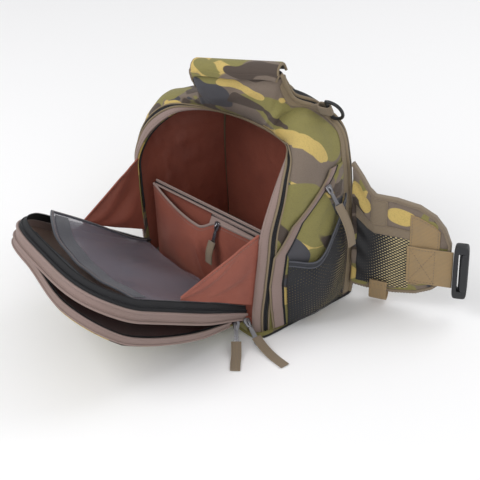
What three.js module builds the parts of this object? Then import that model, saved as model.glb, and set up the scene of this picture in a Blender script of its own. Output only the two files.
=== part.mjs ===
// A sling bag for fishing tackle, opened at the front: a cloth body with a padded back, a flap that
// folds down as a tray, zipped pockets, two waist wings with a buckle, and a shoulder strap.
// Millimetres, +Z up, -Y to the front, origin at the middle of the base on the floor.
import * as THREE from 'three';

// Body
const bodyWidth = 240;
const bodyDepth = 146;
const rimWidth = 238;
const rimHeight = 196;
const neckWidth = 124;
const neckHeight = 277;
const sidePuff = 13;
const yokePuff = 16;
const yokeSlump = 33;
const bodyLean = 8;
const neckLean = 1.9;
const neckTwist = 19.5;
const neckRoll = 10;
const backPad = 9;
const backCrown = 8;
const baseWall = 3;

// Cloth, tapes and the clearance between pieces that are sewn together
const clothWall = 2.2;
const liningWall = 1.2;
const tapeWall = 1.5;
const bindingWall = 1.6;
const gap = 0.35;
const zipTapeWidth = 9;

// Flap
const flapLength = 240;
const flapWidth = 212;
const flapCornerCut = 55;
const flapDepth = 12;
const flapAngle = 27.6;
const flapCurl = 20;
const flapTapeRise = 10;
const hingeHeight = 27;
const pocketDepth = 9;
const pocketMouth = 20;

// Pockets inside and on the sides
const dividerHeight = 118;
const dividerDepth = 12;
const dividerSlope = 16;
const filmWall = 1;
const sidePocketPuff = 12;
const meshPuff = 15;
const meshWall = 1.2;
const hemWidth = 8;

// Wings, webbing and hardware
const wingLength = 120;
const wingTop = 148;
const wingBottom = 20;
const wingPad = 7;
const wingAngle = 29;
const beltWebbing = 50;
const webbingWall = 1.8;
const pullWidth = 12;
const sliderLength = 12;
const tabLength = 20;
const ringWidth = 34;
const ringWire = 4.2;
const ringRaise = 22;
const buckleWidth = 72;
const buckleDepth = 18;
const buckleThickness = 13;
const strapWidth = 62;
const strapPad = 9;

const degrees = Math.PI / 180;
const seat = baseWall + gap;

// Sections of the body from the floor up to the top centre of one side. Each row joins a point of
// the front opening to a point of the back edge, in shares: x of half a width, y of half the depth,
// z of the height from the base, and neck columns of the neck's own half width and rise. Puff is how
// far the cloth stands out, rise how soon after the opening it does so, smallest soonest.
const bodySections = [
  { rimX: 0.908, rimY: -1.055, rimZ: 0, bodyX: 1.008, neckX: 0, backY: 0.96, bodyZ: 0, neckZ: 0, puff: 0.7, rise: 0.6 },
  { rimX: 0.908, rimY: -1.068, rimZ: 0.123, bodyX: 1.02, neckX: 0, backY: 0.96, bodyZ: 0.19, neckZ: 0, puff: 0.85, rise: 0.6 },
  { rimX: 0.95, rimY: -1.055, rimZ: 0.346, bodyX: 1.02, neckX: 0, backY: 0.95, bodyZ: 0.398, neckZ: 0, puff: 1, rise: 0.6 },
  { rimX: 0.988, rimY: -1.02, rimZ: 0.554, bodyX: 1.008, neckX: 0, backY: 0.945, bodyZ: 0.606, neckZ: 0, puff: 1, rise: 0.6 },
  { rimX: 1, rimY: -0.972, rimZ: 0.709, bodyX: 0.985, neckX: 0, backY: 0.94, bodyZ: 0.761, neckZ: 0, puff: 1, rise: 0.6 },
  { rimX: 0.958, rimY: -0.715, rimZ: 0.875, bodyX: 0.95, neckX: 0, backY: 0.945, bodyZ: 0.925, neckZ: 0, puff: 1.1, rise: 0.6 },
  { rimX: 0.83, rimY: -0.29, rimZ: 0.995, bodyX: 0.875, neckX: 0, backY: 0.91, bodyZ: 1, neckZ: 0.18, puff: 1.1, rise: 0.75 },
  { rimX: 0.66, rimY: 0.12, rimZ: 1.01, bodyX: 0.35, neckX: 0.65, backY: 0.645, bodyZ: 1, neckZ: 0.41, puff: 1.1, rise: 0.95 },
  { rimX: 0.462, rimY: 0.397, rimZ: 0.997, bodyX: 0, neckX: 1.07, backY: 0.26, bodyZ: 1, neckZ: 0.573, puff: 1.1, rise: 1.1 },
  { rimX: 0.252, rimY: 0.479, rimZ: 0.996, bodyX: 0, neckX: 1.01, backY: 0.06, bodyZ: 1, neckZ: 0.8, puff: 1, rise: 1.1 },
  { rimX: 0.151, rimY: 0.49, rimZ: 0.995, bodyX: 0, neckX: 0.95, backY: -0.03, bodyZ: 1, neckZ: 1, puff: 1, rise: 1.1 },
  { rimX: 0, rimY: 0.493, rimZ: 0.995, bodyX: 0, neckX: 0, backY: -0.03, bodyZ: 1, neckZ: 1, puff: 1, rise: 1.1 },
];
const topRow = bodySections.length - 1;
const neckCornerRow = 10;
const stations = topRow * 4;

const vec = (x, y, z) => new THREE.Vector3(x, y, z);
const mix = (a, b, share) => a + (b - a) * share;
const mixPoints = (a, b, share) => a.clone().lerp(b, share);
const ease = (x) => {
  const t = THREE.MathUtils.clamp(x, 0, 1);
  return t * t * (3 - 2 * t);
};
const steps = (count) => Array.from({ length: count + 1 }, (_, i) => i / count);
const part = (from, to, count) => steps(count).map((t) => mix(from, to, t));

// A named mesh with its own material
const group = new THREE.Group();
const finishes = {
  camo: { color: 0x7c7546, roughness: 0.85, metalness: 0 },
  taupe: { color: 0xa28c80, roughness: 0.8, metalness: 0 },
  rose: { color: 0xa8604f, roughness: 0.75, metalness: 0 },
  brown: { color: 0x6b5847, roughness: 0.8, metalness: 0 },
  black: { color: 0x26262a, roughness: 0.7, metalness: 0 },
  webbing: { color: 0x9a8462, roughness: 0.85, metalness: 0 },
  plastic: { color: 0x17181b, roughness: 0.4, metalness: 0 },
  metal: { color: 0xb9b9bd, roughness: 0.3, metalness: 1 },
  film: { color: 0xb8b4c4, roughness: 0.15, metalness: 0 },
};
function add(name, finish, geometry) {
  geometry.computeVertexNormals();
  const mesh = new THREE.Mesh(geometry, new THREE.MeshStandardMaterial(finishes[finish]));
  mesh.name = name;
  group.add(mesh);
  return mesh;
}

// Signed volume of an indexed geometry, negative when its faces point inwards
function signedVolume(points, faces) {
  let sum = 0;
  for (let i = 0; i < faces.length; i += 3) {
    const [a, b, c] = [points[faces[i]], points[faces[i + 1]], points[faces[i + 2]]];
    sum += a.dot(b.clone().cross(c));
  }
  return sum / 6;
}

function solid(points, faces) {
  if (signedVolume(points, faces) < 0) {
    for (let i = 0; i < faces.length; i += 3) {
      [faces[i], faces[i + 1]] = [faces[i + 1], faces[i]];
    }
  }
  const geometry = new THREE.BufferGeometry();
  geometry.setAttribute('position', new THREE.Float32BufferAttribute(points.flatMap((p) => p.toArray()), 3));
  geometry.setIndex(faces);
  return geometry;
}

// Closed solid between two faces over the same grid of us and vs; cells named by open(i, j) are cut through
function between(outer, inner, us, vs, open = () => false) {
  const wide = us.length;
  const points = [];
  for (const face of [outer, inner]) {
    for (const v of vs) {
      for (const u of us) {
        points.push(face(u, v));
      }
    }
  }
  const layer = wide * vs.length;
  const at = (i, j) => j * wide + i;
  const filled = (i, j) => i >= 0 && j >= 0 && i < wide - 1 && j < vs.length - 1 && !open(i, j);
  const faces = [];
  const quad = (a, b, c, d) => faces.push(a, b, c, a, c, d);
  const side = (a, b) => quad(b, a, a + layer, b + layer);
  for (let j = 0; j < vs.length - 1; j += 1) {
    for (let i = 0; i < wide - 1; i += 1) {
      if (!filled(i, j)) continue;
      const [a, b, c, d] = [at(i, j), at(i + 1, j), at(i + 1, j + 1), at(i, j + 1)];
      quad(a, b, c, d);
      faces.push(a + layer, c + layer, b + layer, a + layer, d + layer, c + layer);
      if (!filled(i, j - 1)) side(a, b);
      if (!filled(i + 1, j)) side(b, c);
      if (!filled(i, j + 1)) side(c, d);
      if (!filled(i - 1, j)) side(d, a);
    }
  }
  return solid(points, faces);
}

// Unit normal of a surface(u, v), found from small steps that stay inside the grid
function normalOf(surface, u, v) {
  const step = 0.004;
  const [u0, u1] = [Math.max(u - step, 0), Math.min(u + step, 1)];
  const [v0, v1] = [Math.max(v - step, 0), Math.min(v + step, 1)];
  const across = surface(u1, v).sub(surface(u0, v));
  const along = surface(u, v1).sub(surface(u, v0));
  return along.cross(across).normalize();
}

// Cloth laid on a surface from one height above it to another
function layer(surface, low, high, us, vs, open) {
  const height = (value, u, v) => (typeof value === 'function' ? value(u, v) : value);
  const face = (value) => (u, v) => surface(u, v).addScaledVector(normalOf(surface, u, v), height(value, u, v));
  return between(face(high), face(low), us, vs, open);
}

// Closed solid through sections of equal count, with fan caps
function loft(sections, ring = false) {
  const count = sections[0].length;
  const points = sections.flat();
  const faces = [];
  const last = ring ? sections.length : sections.length - 1;
  for (let k = 0; k < last; k += 1) {
    const [low, high] = [k * count, ((k + 1) % sections.length) * count];
    for (let i = 0; i < count; i += 1) {
      const j = (i + 1) % count;
      faces.push(low + i, low + j, high + j, low + i, high + j, high + i);
    }
  }
  if (!ring) {
    const end = (sections.length - 1) * count;
    for (let i = 1; i < count - 1; i += 1) {
      faces.push(0, i + 1, i, end, end + i, end + i + 1);
    }
  }
  return solid(points, faces);
}

// Flat band along a route: width along one direction, thickness along the other
function band(route, width, thickness, widthAt, liftAt, count) {
  const sections = steps(count).map((t) => {
    const centre = route(t);
    const half = widthAt(t).setLength(width / 2);
    const rise = liftAt(t).setLength(thickness / 2);
    return [
      centre.clone().sub(half).sub(rise),
      centre.clone().add(half).sub(rise),
      centre.clone().add(half).add(rise),
      centre.clone().sub(half).add(rise),
    ];
  });
  return loft(sections);
}

// Band along points, its width held along one direction
function strip(points, width, thickness, across, count) {
  const curve = new THREE.CatmullRomCurve3(points, false, 'centripetal');
  const lift = (t) => curve.getTangent(t).cross(across).normalize();
  return band((t) => curve.getPoint(t), width, thickness, () => across.clone(), lift, count);
}

// Body surface: u runs from the right foot over the top to the left foot, v from the opening to the back
const neckRise = neckHeight - rimHeight;
const rowPoints = bodySections.map((row) => {
  const bodyZ = mix(seat, rimHeight, row.bodyZ);
  return {
    rim: vec((row.rimX * rimWidth) / 2, (row.rimY * bodyDepth) / 2, mix(seat, rimHeight, row.rimZ)),
    back: vec(
      (row.bodyX * bodyWidth + row.neckX * neckWidth) / 2,
      (row.backY * bodyDepth) / 2,
      bodyZ + row.neckZ * neckRise,
    ),
    puff: row.puff * (row.neckX > 0 ? yokePuff : sidePuff),
    rise: row.rise,
  };
});
const mirrored = (point) => vec(-point.x, point.y, point.z);
const bothSides = (list, flip) => [...list, ...list.slice(0, -1).reverse().map(flip)];
const rimCurve = new THREE.CatmullRomCurve3(bothSides(rowPoints.map((row) => row.rim), mirrored), false, 'centripetal');
const backCurve = new THREE.CatmullRomCurve3(bothSides(rowPoints.map((row) => row.back), mirrored), false, 'centripetal');
const rowShare = (row) => row / (2 * topRow);

// Value of a row's column at u, eased between rows and the same on both sides
function columnAt(column, u) {
  const place = Math.min(Math.min(u, 1 - u) * 2, 1) * topRow;
  const index = Math.min(Math.floor(place), topRow - 1);
  return mix(rowPoints[index][column], rowPoints[index + 1][column], ease(place - index));
}

// The yoke slumps forwards over its left shoulder
const slumpPlace = rowShare(2 * topRow - 5.4);
const slumpSpread = rowShare(2.4);
const slumpWay = vec(-0.85, -0.5, -0.1);
const slumpAt = (u, v) => yokeSlump * Math.exp(-(((u - slumpPlace) / slumpSpread) ** 2)) * Math.sin(Math.PI * v);

// The body leans a little to the left as it rises, and the neck is turned and tipped
const twistStart = rimHeight - 6;
function turnNeck(point) {
  const share = ease((point.z - twistStart) / (neckHeight - twistStart) / 0.85);
  const angle = neckTwist * degrees * share;
  const lean = bodyLean * ease(point.z / rimHeight) * mix(1, neckLean, share);
  return vec(
    point.x * Math.cos(angle) - point.y * Math.sin(angle) - lean,
    point.x * Math.sin(angle) + point.y * Math.cos(angle),
    point.z + point.x * Math.tan(neckRoll * degrees) * share,
  );
}

function bodySurface(u, v) {
  const rim = rimCurve.getPoint(u);
  const reach = backCurve.getPoint(u).sub(rim);
  const outward = reach.clone().cross(rimCurve.getTangent(u)).normalize();
  const swell = columnAt('puff', u) * Math.sin(Math.PI * v ** columnAt('rise', u));
  rim.addScaledVector(reach, v).addScaledVector(outward, swell).addScaledVector(slumpWay, slumpAt(u, v));
  return turnNeck(rim);
}

const bodyColumns = steps(stations);
const trimShare = 0.055;
const bodyRows = [0, trimShare, 0.17, 0.3, 0.48, 0.68, 0.92, 1];
add('main_shell', 'camo', layer(bodySurface, -clothWall, 0, bodyColumns, bodyRows));
const trimTop = gap + bindingWall;
add('arch_trim', 'taupe', layer(bodySurface, gap, trimTop, bodyColumns, [0, trimShare]));
const bindingColumns = bodyColumns.slice(0, (neckCornerRow - 0.5) * 4 / 2 + 1);
add('edge_binding_right', 'taupe', layer(bodySurface, gap, trimTop, bindingColumns, [0.92, 1]));
const bindingMirror = bindingColumns.map((u) => 1 - u).reverse();
add('edge_binding_left', 'taupe', layer(bodySurface, gap, trimTop, bindingMirror, [0.92, 1]));

// Zip tape round the opening, folded back inside the rim
const tapeIn = clothWall + gap + liningWall + gap;
add('arch_zip_tape', 'black', layer(bodySurface, -tapeIn - tapeWall, -tapeIn, bodyColumns.slice(4, -4), [0, 0.04]));

// Lining: follows the walls inside, but closes the top straight back instead of running up the neck
const liningIn = clothWall + 4 * gap;
const liningTop = rimHeight + 8;
function liningSurface(u, v) {
  const wall = bodySurface(u, v).addScaledVector(normalOf(bodySurface, u, v), -liningIn);
  const start = bodySurface(u, bodyRows[1]).addScaledVector(normalOf(bodySurface, u, bodyRows[1]), -liningIn);
  const roof = mixPoints(start, vec(start.x * 0.95, bodyDepth / 2 - 9, liningTop), v);
  return mixPoints(wall, roof, ease((Math.min(u, 1 - u) / rowShare(1) - 5) / 1.5));
}
add('main_lining', 'rose', layer(liningSurface, -liningWall, 0, bodyColumns, [0.15, 0.26, 0.45, 0.68, 0.92]));

// Base, floor lining and the low front wall that carries the flap
const baseRound = 14;
function roundedPlate(width, depth, radius, thickness, y0, z) {
  const shape = new THREE.Shape();
  const [x, y] = [width / 2, depth / 2];
  shape.moveTo(-x + radius, -y);
  shape.lineTo(x - radius, -y);
  shape.absarc(x - radius, -y + radius, radius, -Math.PI / 2, 0);
  shape.lineTo(x, y - radius);
  shape.absarc(x - radius, y - radius, radius, 0, Math.PI / 2);
  shape.lineTo(-x + radius, y);
  shape.absarc(-x + radius, y - radius, radius, Math.PI / 2, Math.PI);
  shape.lineTo(-x, -y + radius);
  shape.absarc(-x + radius, -y + radius, radius, Math.PI, Math.PI * 1.5);
  const geometry = new THREE.ExtrudeGeometry(shape, { depth: thickness, bevelEnabled: false, curveSegments: 4 });
  geometry.translate(0, y0, z);
  return geometry;
}
const baseBack = bodyDepth / 2 + 5;
const baseFront = bodyDepth / 2 + 12;
add('base_panel', 'camo', roundedPlate(
  bodyWidth + 8, baseBack + baseFront, baseRound, baseWall, (baseBack - baseFront) / 2, 0,
));
add('floor_lining', 'rose', roundedPlate(bodyWidth * 0.84, bodyDepth * 0.84, baseRound, liningWall, 0, seat));

// Flap: x across, v along from the hinge, w up from its zip line
const flapHinge = -bodyDepth / 2 - 5.5;
const flapTilt = flapAngle * degrees;
const flapHalf = flapWidth / 2;
function flapPoint(x, v, w) {
  const curl = flapCurl * ((flapHalf - x) / flapWidth) * (v / flapLength) ** 2;
  const up = w + curl;
  return vec(
    x,
    flapHinge - v * Math.cos(flapTilt) + up * Math.sin(flapTilt),
    hingeHeight + v * Math.sin(flapTilt) + up * Math.cos(flapTilt),
  );
}
const flapFront = (a) => flapLength - flapCornerCut * Math.abs(a) ** 4;
const flapSide = (v) => flapHalf * mix(0.935, 1, ease(v / (flapLength * 0.4)));
const flapTaper = (v) => mix(0.6, 1, ease(v / (flapLength * 0.3)));
const flapStart = 3;

// Edge of the flap as a route: up the right side, round the front, down the left side
const sideSteps = 8;
const frontSteps = 16;
const flapEdge = [];
for (const t of part(flapStart / flapFront(1), 1, sideSteps)) {
  flapEdge.push({ x: flapSide(flapFront(1) * t), v: flapFront(1) * t });
}
for (const a of part(1, -1, frontSteps).slice(1, -1)) {
  flapEdge.push({ x: a * flapHalf, v: flapFront(a) });
}
for (const t of part(1, flapStart / flapFront(1), sideSteps)) {
  flapEdge.push({ x: -flapSide(flapFront(1) * t), v: flapFront(1) * t });
}
// Direction outwards in the flap's plane at each point of the route
flapEdge.forEach((point, i) => {
  const before = flapEdge[Math.max(i - 1, 0)];
  const after = flapEdge[Math.min(i + 1, flapEdge.length - 1)];
  const run = new THREE.Vector2(after.x - before.x, after.v - before.v).normalize();
  point.outX = run.y;
  point.outV = -run.x;
});
const edgeSection = (point, corners) =>
  corners.map(([out, w]) => flapPoint(point.x + point.outX * out, point.v + point.outV * out, w));

const floorLow = (v) => -flapDepth * flapTaper(v);
const flapGrid = (height) => (a, b) => {
  const v = mix(flapStart, flapFront(a), b);
  const sag = 3 * (1 - a * a) * Math.sin(Math.PI * b);
  return flapPoint(a * flapSide(v), v, height(v, a, b) - sag);
};
const across = part(-1, 1, 10);
const along = steps(7);
const flapFloor = flapGrid((v) => floorLow(v));
const flapFloorTop = flapGrid((v) => floorLow(v) + clothWall);
add('flap_shell', 'camo', between(flapFloorTop, flapFloor, across, along));
const flapLiningLow = flapGrid((v) => floorLow(v) + clothWall + gap);
const flapLiningHigh = flapGrid((v) => floorLow(v) + clothWall + gap + liningWall);
add('flap_lining', 'brown', between(flapLiningHigh, flapLiningLow, across, along));

const wallOut = 0.6;
const tapeLean = 5;
add('flap_trim', 'taupe', loft(flapEdge.map((point) => {
  const low = floorLow(point.v);
  return edgeSection(point, [
    [wallOut, low],
    [wallOut + clothWall, low],
    [wallOut + clothWall, 0],
    [wallOut, 0],
  ]);
})));
add('flap_zip_tape', 'black', loft(flapEdge.map((point) => {
  const rise = flapTapeRise * flapTaper(point.v);
  return edgeSection(point, [
    [wallOut, gap],
    [wallOut + tapeWall, gap],
    [tapeWall - tapeLean, rise],
    [-tapeLean, rise],
  ]);
})));

// Low front wall under the hinge
const sillTop = flapPoint(0, flapStart, floorLow(flapStart)).z - gap;
const sillBack = flapHinge - 3;
const sillHalf = rowPoints[0].rim.x - clothWall - gap;
function sillSurface(u, v) {
  const bow = 2 * Math.sin(Math.PI * v);
  return vec(mix(-sillHalf, sillHalf, u), sillBack - bow, mix(seat, sillTop, v));
}
add('front_sill', 'camo', between(
  (u, v) => sillSurface(u, v).add(vec(0, -clothWall, 0)),
  sillSurface,
  steps(8),
  steps(3),
));

// Front pocket under the flap, hanging open at its right front corner
const mouthAt = (x, v) => {
  const side = ease((x / flapHalf + 0.25) / 0.8);
  const length = Math.sin(Math.PI * THREE.MathUtils.clamp(v / (flapLength * 1.3), 0, 1)) ** 1.5;
  return pocketMouth * side * length;
};
const pocketTop = (x, v) => floorLow(v) - gap - mouthAt(x, v);
const pocketLow = (x, v) => pocketTop(x, v) - pocketDepth * flapTaper(v);
add('front_pocket_trim', 'taupe', loft(flapEdge.slice(1, -1).map((point) => {
  const high = pocketTop(point.x, point.v);
  const low = pocketLow(point.x, point.v);
  return edgeSection(point, [
    [wallOut, low],
    [wallOut + clothWall, low],
    [wallOut + clothWall, high],
    [wallOut, high],
  ]);
})));
add('front_pocket_tape', 'black', loft(flapEdge.slice(1, -1).map((point) => {
  const high = pocketTop(point.x, point.v) - gap;
  const low = mix(high, pocketLow(point.x, point.v), 0.7);
  return edgeSection(point, [
    [-tapeWall - gap, low],
    [-gap, low],
    [-gap, high],
    [-tapeWall - gap, high],
  ]);
})));
const pocketGrid = (lift) => (a, b) => {
  const v = mix(flapStart, flapFront(a), b);
  const x = a * flapSide(v);
  const sag = 4 * (1 - a * a) * Math.sin(Math.PI * b);
  return flapPoint(x, v, pocketLow(x, v) - gap - sag + lift);
};
add('front_pocket_shell', 'camo', between(pocketGrid(0), pocketGrid(-clothWall), across, along));

// Elastic band across the tray, and the clear pocket hinged near the flap's foot
const elasticPlace = 0.87;
const elasticLift = 2 * gap + liningWall + 0.3;
add('flap_elastic', 'black', between(
  ...[elasticLift + tapeWall, elasticLift].map((lift) => (u, v) => {
    const x = mix(-0.8, 0.8, u) * flapHalf;
    const place = flapLength * elasticPlace + mix(-7, 7, v);
    const bow = 3 * Math.sin(Math.PI * u);
    return flapPoint(x, place - 18 * Math.abs(x / flapHalf) ** 3, floorLow(place) + clothWall + lift + bow);
  }),
  steps(8),
  [0, 1],
));

const filmLength = 196;
const filmHalf = 94;
function filmSurface(u, v) {
  const a = mix(-1, 1, u);
  const reach = filmLength - 60 * Math.max(Math.abs(a) - 0.45, 0) ** 1.6;
  const place = mix(14, reach, v);
  const lifted = 17 * ease((-a - 0.2) / 0.8) * ease(v / 0.9);
  const wave = 1.6 * Math.sin(5 * a + 4 * v);
  return flapPoint(a * filmHalf * 0.97, place, 3 + lifted + wave);
}
add('clear_pocket_film', 'film', layer(filmSurface, 0, filmWall, steps(10), steps(6)));
const filmEdge = [
  ...part(0, 1, 6).map((v) => [1, v]),
  ...part(1, 0, 10).slice(1).map((u) => [u, 1]),
  ...part(1, 0, 6).slice(1).map((v) => [0, v]),
];
add('clear_pocket_binding', 'black', loft(filmEdge.map(([u, v]) => {
  const edge = filmSurface(u, v);
  const centre = filmSurface(0.5, 0.5);
  const out = edge.clone().sub(centre).setLength(gap);
  const lift = normalOf(filmSurface, u, v).setLength(2.2);
  const wide = out.clone().setLength(3.5);
  const root = edge.add(out);
  return [
    root,
    root.clone().add(wide),
    root.clone().add(wide).add(lift),
    root.clone().add(lift),
  ];
})));

// Gussets: cloth triangles from the opening's sides to the flap's sides
const gussetFoot = 0.5;
const gussetTopRow = 4;
function gusset(side) {
  const foot = flapPoint(side * (flapHalf - tapeLean - 2), flapLength * gussetFoot, flapTapeRise + 1);
  return (u, v) => {
    const share = rowShare(mix(1.4, gussetTopRow, v));
    const rim = bodySurface(side > 0 ? share : 1 - share, 0);
    const rear = rim.add(vec(-side * (clothWall / 2 + gap), -0.3, 0));
    const point = mixPoints(rear, foot, u);
    const fold = 5 * Math.sin(Math.PI * u) * Math.sin(Math.PI * v) * Math.sin(1.5 + 4 * v);
    return point.add(vec(-side * fold, 0, 0));
  };
}
for (const [name, side] of [['gusset_right', 1], ['gusset_left', -1]]) {
  const surface = gusset(side);
  add(name, 'rose', layer(surface, -liningWall / 2, liningWall / 2, part(0, 0.95, 6), steps(5)));
}

// Divider pocket across the front of the compartment
const dividerY = rowPoints[3].rim.y + 9;
const dividerHalf = rowPoints[3].rim.x - 10;
const dividerTop = (x) => dividerHeight + dividerSlope * (x / dividerHalf) * 0.7;
const openShare = (x) => ease((0.28 - x / dividerHalf) / 0.35);
function dividerBack(u, v) {
  const x = mix(-dividerHalf, dividerHalf, u) * mix(0.94, 1, v);
  return vec(x, dividerY + dividerDepth, mix(seat + liningWall + gap, dividerTop(x), v));
}
function dividerFront(u, v) {
  const x = mix(-dividerHalf, dividerHalf, u) * mix(0.94, 1, v);
  const middle = Math.sin(Math.PI * u);
  const drop = 24 * openShare(x) * middle * ease(v);
  const belly = (6 + 9 * openShare(x)) * middle * Math.sin(Math.PI * (0.15 + 0.7 * v));
  const crease = 2.2 * Math.sin(9 * u + 3 * v) * middle * Math.sin(Math.PI * v);
  const low = seat + liningWall + gap;
  const top = dividerTop(x) - zipTapeWidth * (1 - openShare(x)) - drop;
  return vec(x, dividerY + 4 - belly - crease, mix(low, top, v));
}
add('divider_pocket_back', 'rose', between(
  (u, v) => dividerBack(u, v).add(vec(0, -liningWall, 0)),
  dividerBack,
  steps(10),
  steps(4),
));
add('divider_pocket_front', 'rose', between(
  dividerFront,
  (u, v) => dividerFront(u, v).add(vec(0, liningWall, 0)),
  steps(16),
  steps(6),
));
function dividerTape(u, v) {
  const x = mix(-dividerHalf, dividerHalf, u);
  return vec(x, mix(dividerY + 6, dividerY + dividerDepth - 3, v), dividerTop(x) + mix(-0.3, 3.7, v));
}
add('divider_zip_tape', 'taupe', layer(dividerTape, -tapeWall, 0, steps(10), [0, 1]));

// A slider with its metal tab, drawn lying in its own plane: x along the pull, y across, z up
function sliderShape() {
  const outline = new THREE.Shape();
  const half = pullWidth * 0.42;
  outline.moveTo(0, -half * 0.8);
  outline.lineTo(sliderLength, -half * 0.55);
  outline.lineTo(sliderLength + tabLength * 0.5, -half * 0.55);
  outline.absarc(sliderLength + tabLength, 0, half, -Math.PI / 2, Math.PI / 2);
  outline.lineTo(sliderLength + tabLength * 0.5, half * 0.55);
  outline.lineTo(sliderLength, half * 0.55);
  outline.lineTo(0, half * 0.8);
  const hole = new THREE.Path();
  hole.absarc(sliderLength + tabLength, 0, half * 0.5, 0, Math.PI * 2);
  outline.holes.push(hole);
  return new THREE.ExtrudeGeometry(outline, { depth: 2, bevelEnabled: false, curveSegments: 4 });
}
function place(mesh, at, along, up) {
  const x = along.clone().normalize();
  const z = up.clone().addScaledVector(x, -up.dot(x)).normalize();
  const y = z.clone().cross(x);
  mesh.quaternion.setFromRotationMatrix(new THREE.Matrix4().makeBasis(x, y, z));
  mesh.position.copy(at);
}
function pull(name, at, along, up, ends) {
  const slider = add(`${name}_slider`, 'metal', sliderShape());
  place(slider, at, along, up);
  const run = along.clone().normalize();
  const lift = up.clone().addScaledVector(run, -up.dot(run)).normalize();
  const start = at.clone().addScaledVector(run, sliderLength + tabLength * 0.72).addScaledVector(lift, 2 + gap + webbingWall / 2);
  const sideways = lift.clone().cross(run);
  add(`${name}_pull`, 'webbing', strip([start, ...ends], pullWidth, webbingWall, sideways, 6));
}
const floorClear = 0.8 + webbingWall / 2;

// Back: a pad behind the back edge, its lining, and the neck's top fold
const backShare = rowShare(neckCornerRow);
function backSurface(u, v) {
  const share = backShare * v;
  const point = mixPoints(bodySurface(1 - share, 1), bodySurface(share, 1), u);
  const a = 2 * u - 1;
  return point.add(vec(0, backCrown * (1 - a * a) * ease((1 - v) * 4), 0));
}
const backGap = clothWall + 4 * gap;
const padThickness = (u) => backPad * mix(0.4, 1, Math.sqrt(1 - (2 * u - 1) ** 4));
const backColumns = steps(10);
const backRows = [0, 1, 2, 3, 4, 5, 5.5, 6, 6.5, 7, 7.5, 8, 8.5, 9, 9.5, 10].map((row) => row / neckCornerRow);
const padOuter = (u) => backGap + padThickness(u);
add('back_panel', 'black', layer(backSurface, backGap, padOuter, backColumns, backRows));
add('back_lining', 'rose', layer(backSurface, backGap - 2 * gap - liningWall, backGap - 2 * gap, [0.06, ...backColumns.slice(1, -1), 0.94], [0.03, ...part(0.1, 0.6, 5)]));

// Neck's top edge: cloth folded back over the front, the pad and the strap
const neckBack = normalOf(backSurface, 0.5, 1);
const neckEdge = (u) => backSurface(u, 1);
const neckUp = neckBack.clone().cross(neckEdge(0).sub(neckEdge(1))).normalize();
const foldDepth = backGap + backPad + gap;
const foldRise = 7;
const foldLeg = 7;
const foldFront = 0.2;
function foldSurface(u, v) {
  if (v < foldFront) {
    const [share, height] = [mix(1 - backShare, backShare, u), 1 - 0.08 * (1 - v / foldFront)];
    return bodySurface(share, height).addScaledVector(normalOf(bodySurface, share, height), gap + clothWall + 0.5);
  }
  const around = (v - foldFront) / (1 - foldFront);
  const turn = Math.PI * Math.min(around / 0.75, 1);
  const leg = foldLeg * Math.max(0, around * 4 - 3);
  const half = foldDepth / 2 + gap + clothWall;
  const point = neckEdge(u).addScaledVector(neckBack, foldDepth / 2 - half * Math.cos(turn));
  return point.addScaledVector(neckUp, gap + foldRise * Math.sin(turn) - leg);
}
add('neck_fold', 'camo', layer(foldSurface, -clothWall, 0, steps(6), steps(10)));

// Shoulder strap: a pad down the back from under the fold, then webbing through an adjuster to a low corner
const strapRoute = [
  { height: 0.42, side: 0.3 },
  { height: 0.56, side: 0.38 },
  { height: 0.72, side: 0.46 },
  { height: 0.9, side: 0.5 },
];
const strapGap = 1.7;
const strapSide = new THREE.CatmullRomCurve3(strapRoute.map(({ height, side }) => vec(side, height, 0)));
const backWidth = (height) => backSurface(0, height).distanceTo(backSurface(1, height));
// Surface of a band on the back, its middle following a route of side and height shares
const backBand = (route, width) => (u, v) => {
  const { x: side, y: height } = route(v);
  return backSurface(side + ((u - 0.5) * width) / backWidth(height), height);
};
const overPad = (lift) => (u) => backGap + backPad + strapGap + lift * (1 - 0.5 * (2 * u - 1) ** 4);
add('shoulder_strap', 'black', layer(
  backBand((v) => strapSide.getPoint(v), strapWidth), overPad(0), overPad(strapPad), steps(4), steps(8),
));
const strapEnd = strapRoute[0];
const anchor = { height: 0.08, side: 0.2 };
const tail = (from, to) => (v) => ({
  x: mix(anchor.side, strapEnd.side, mix(from, to, v)),
  y: mix(anchor.height, strapEnd.height, mix(from, to, v)),
});
const tailWidth = strapWidth * 0.6;
const webbingLift = backGap + backPad + gap + 0.2;
const adjusterShare = 0.62;
const adjusterHalf = 9;
const tailRise = backSurface(0.3, strapEnd.height).z - backSurface(0.3, anchor.height).z;
const adjusterReach = (adjusterHalf + 5) / tailRise;
for (const [name, from, to] of [['lower', 0, adjusterShare - adjusterReach], ['upper', adjusterShare + adjusterReach, 0.98]]) {
  const surface = backBand(tail(from, to), tailWidth);
  add(`strap_webbing_${name}`, 'webbing', layer(surface, webbingLift, webbingLift + webbingWall, steps(2), steps(3)));
}

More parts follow.
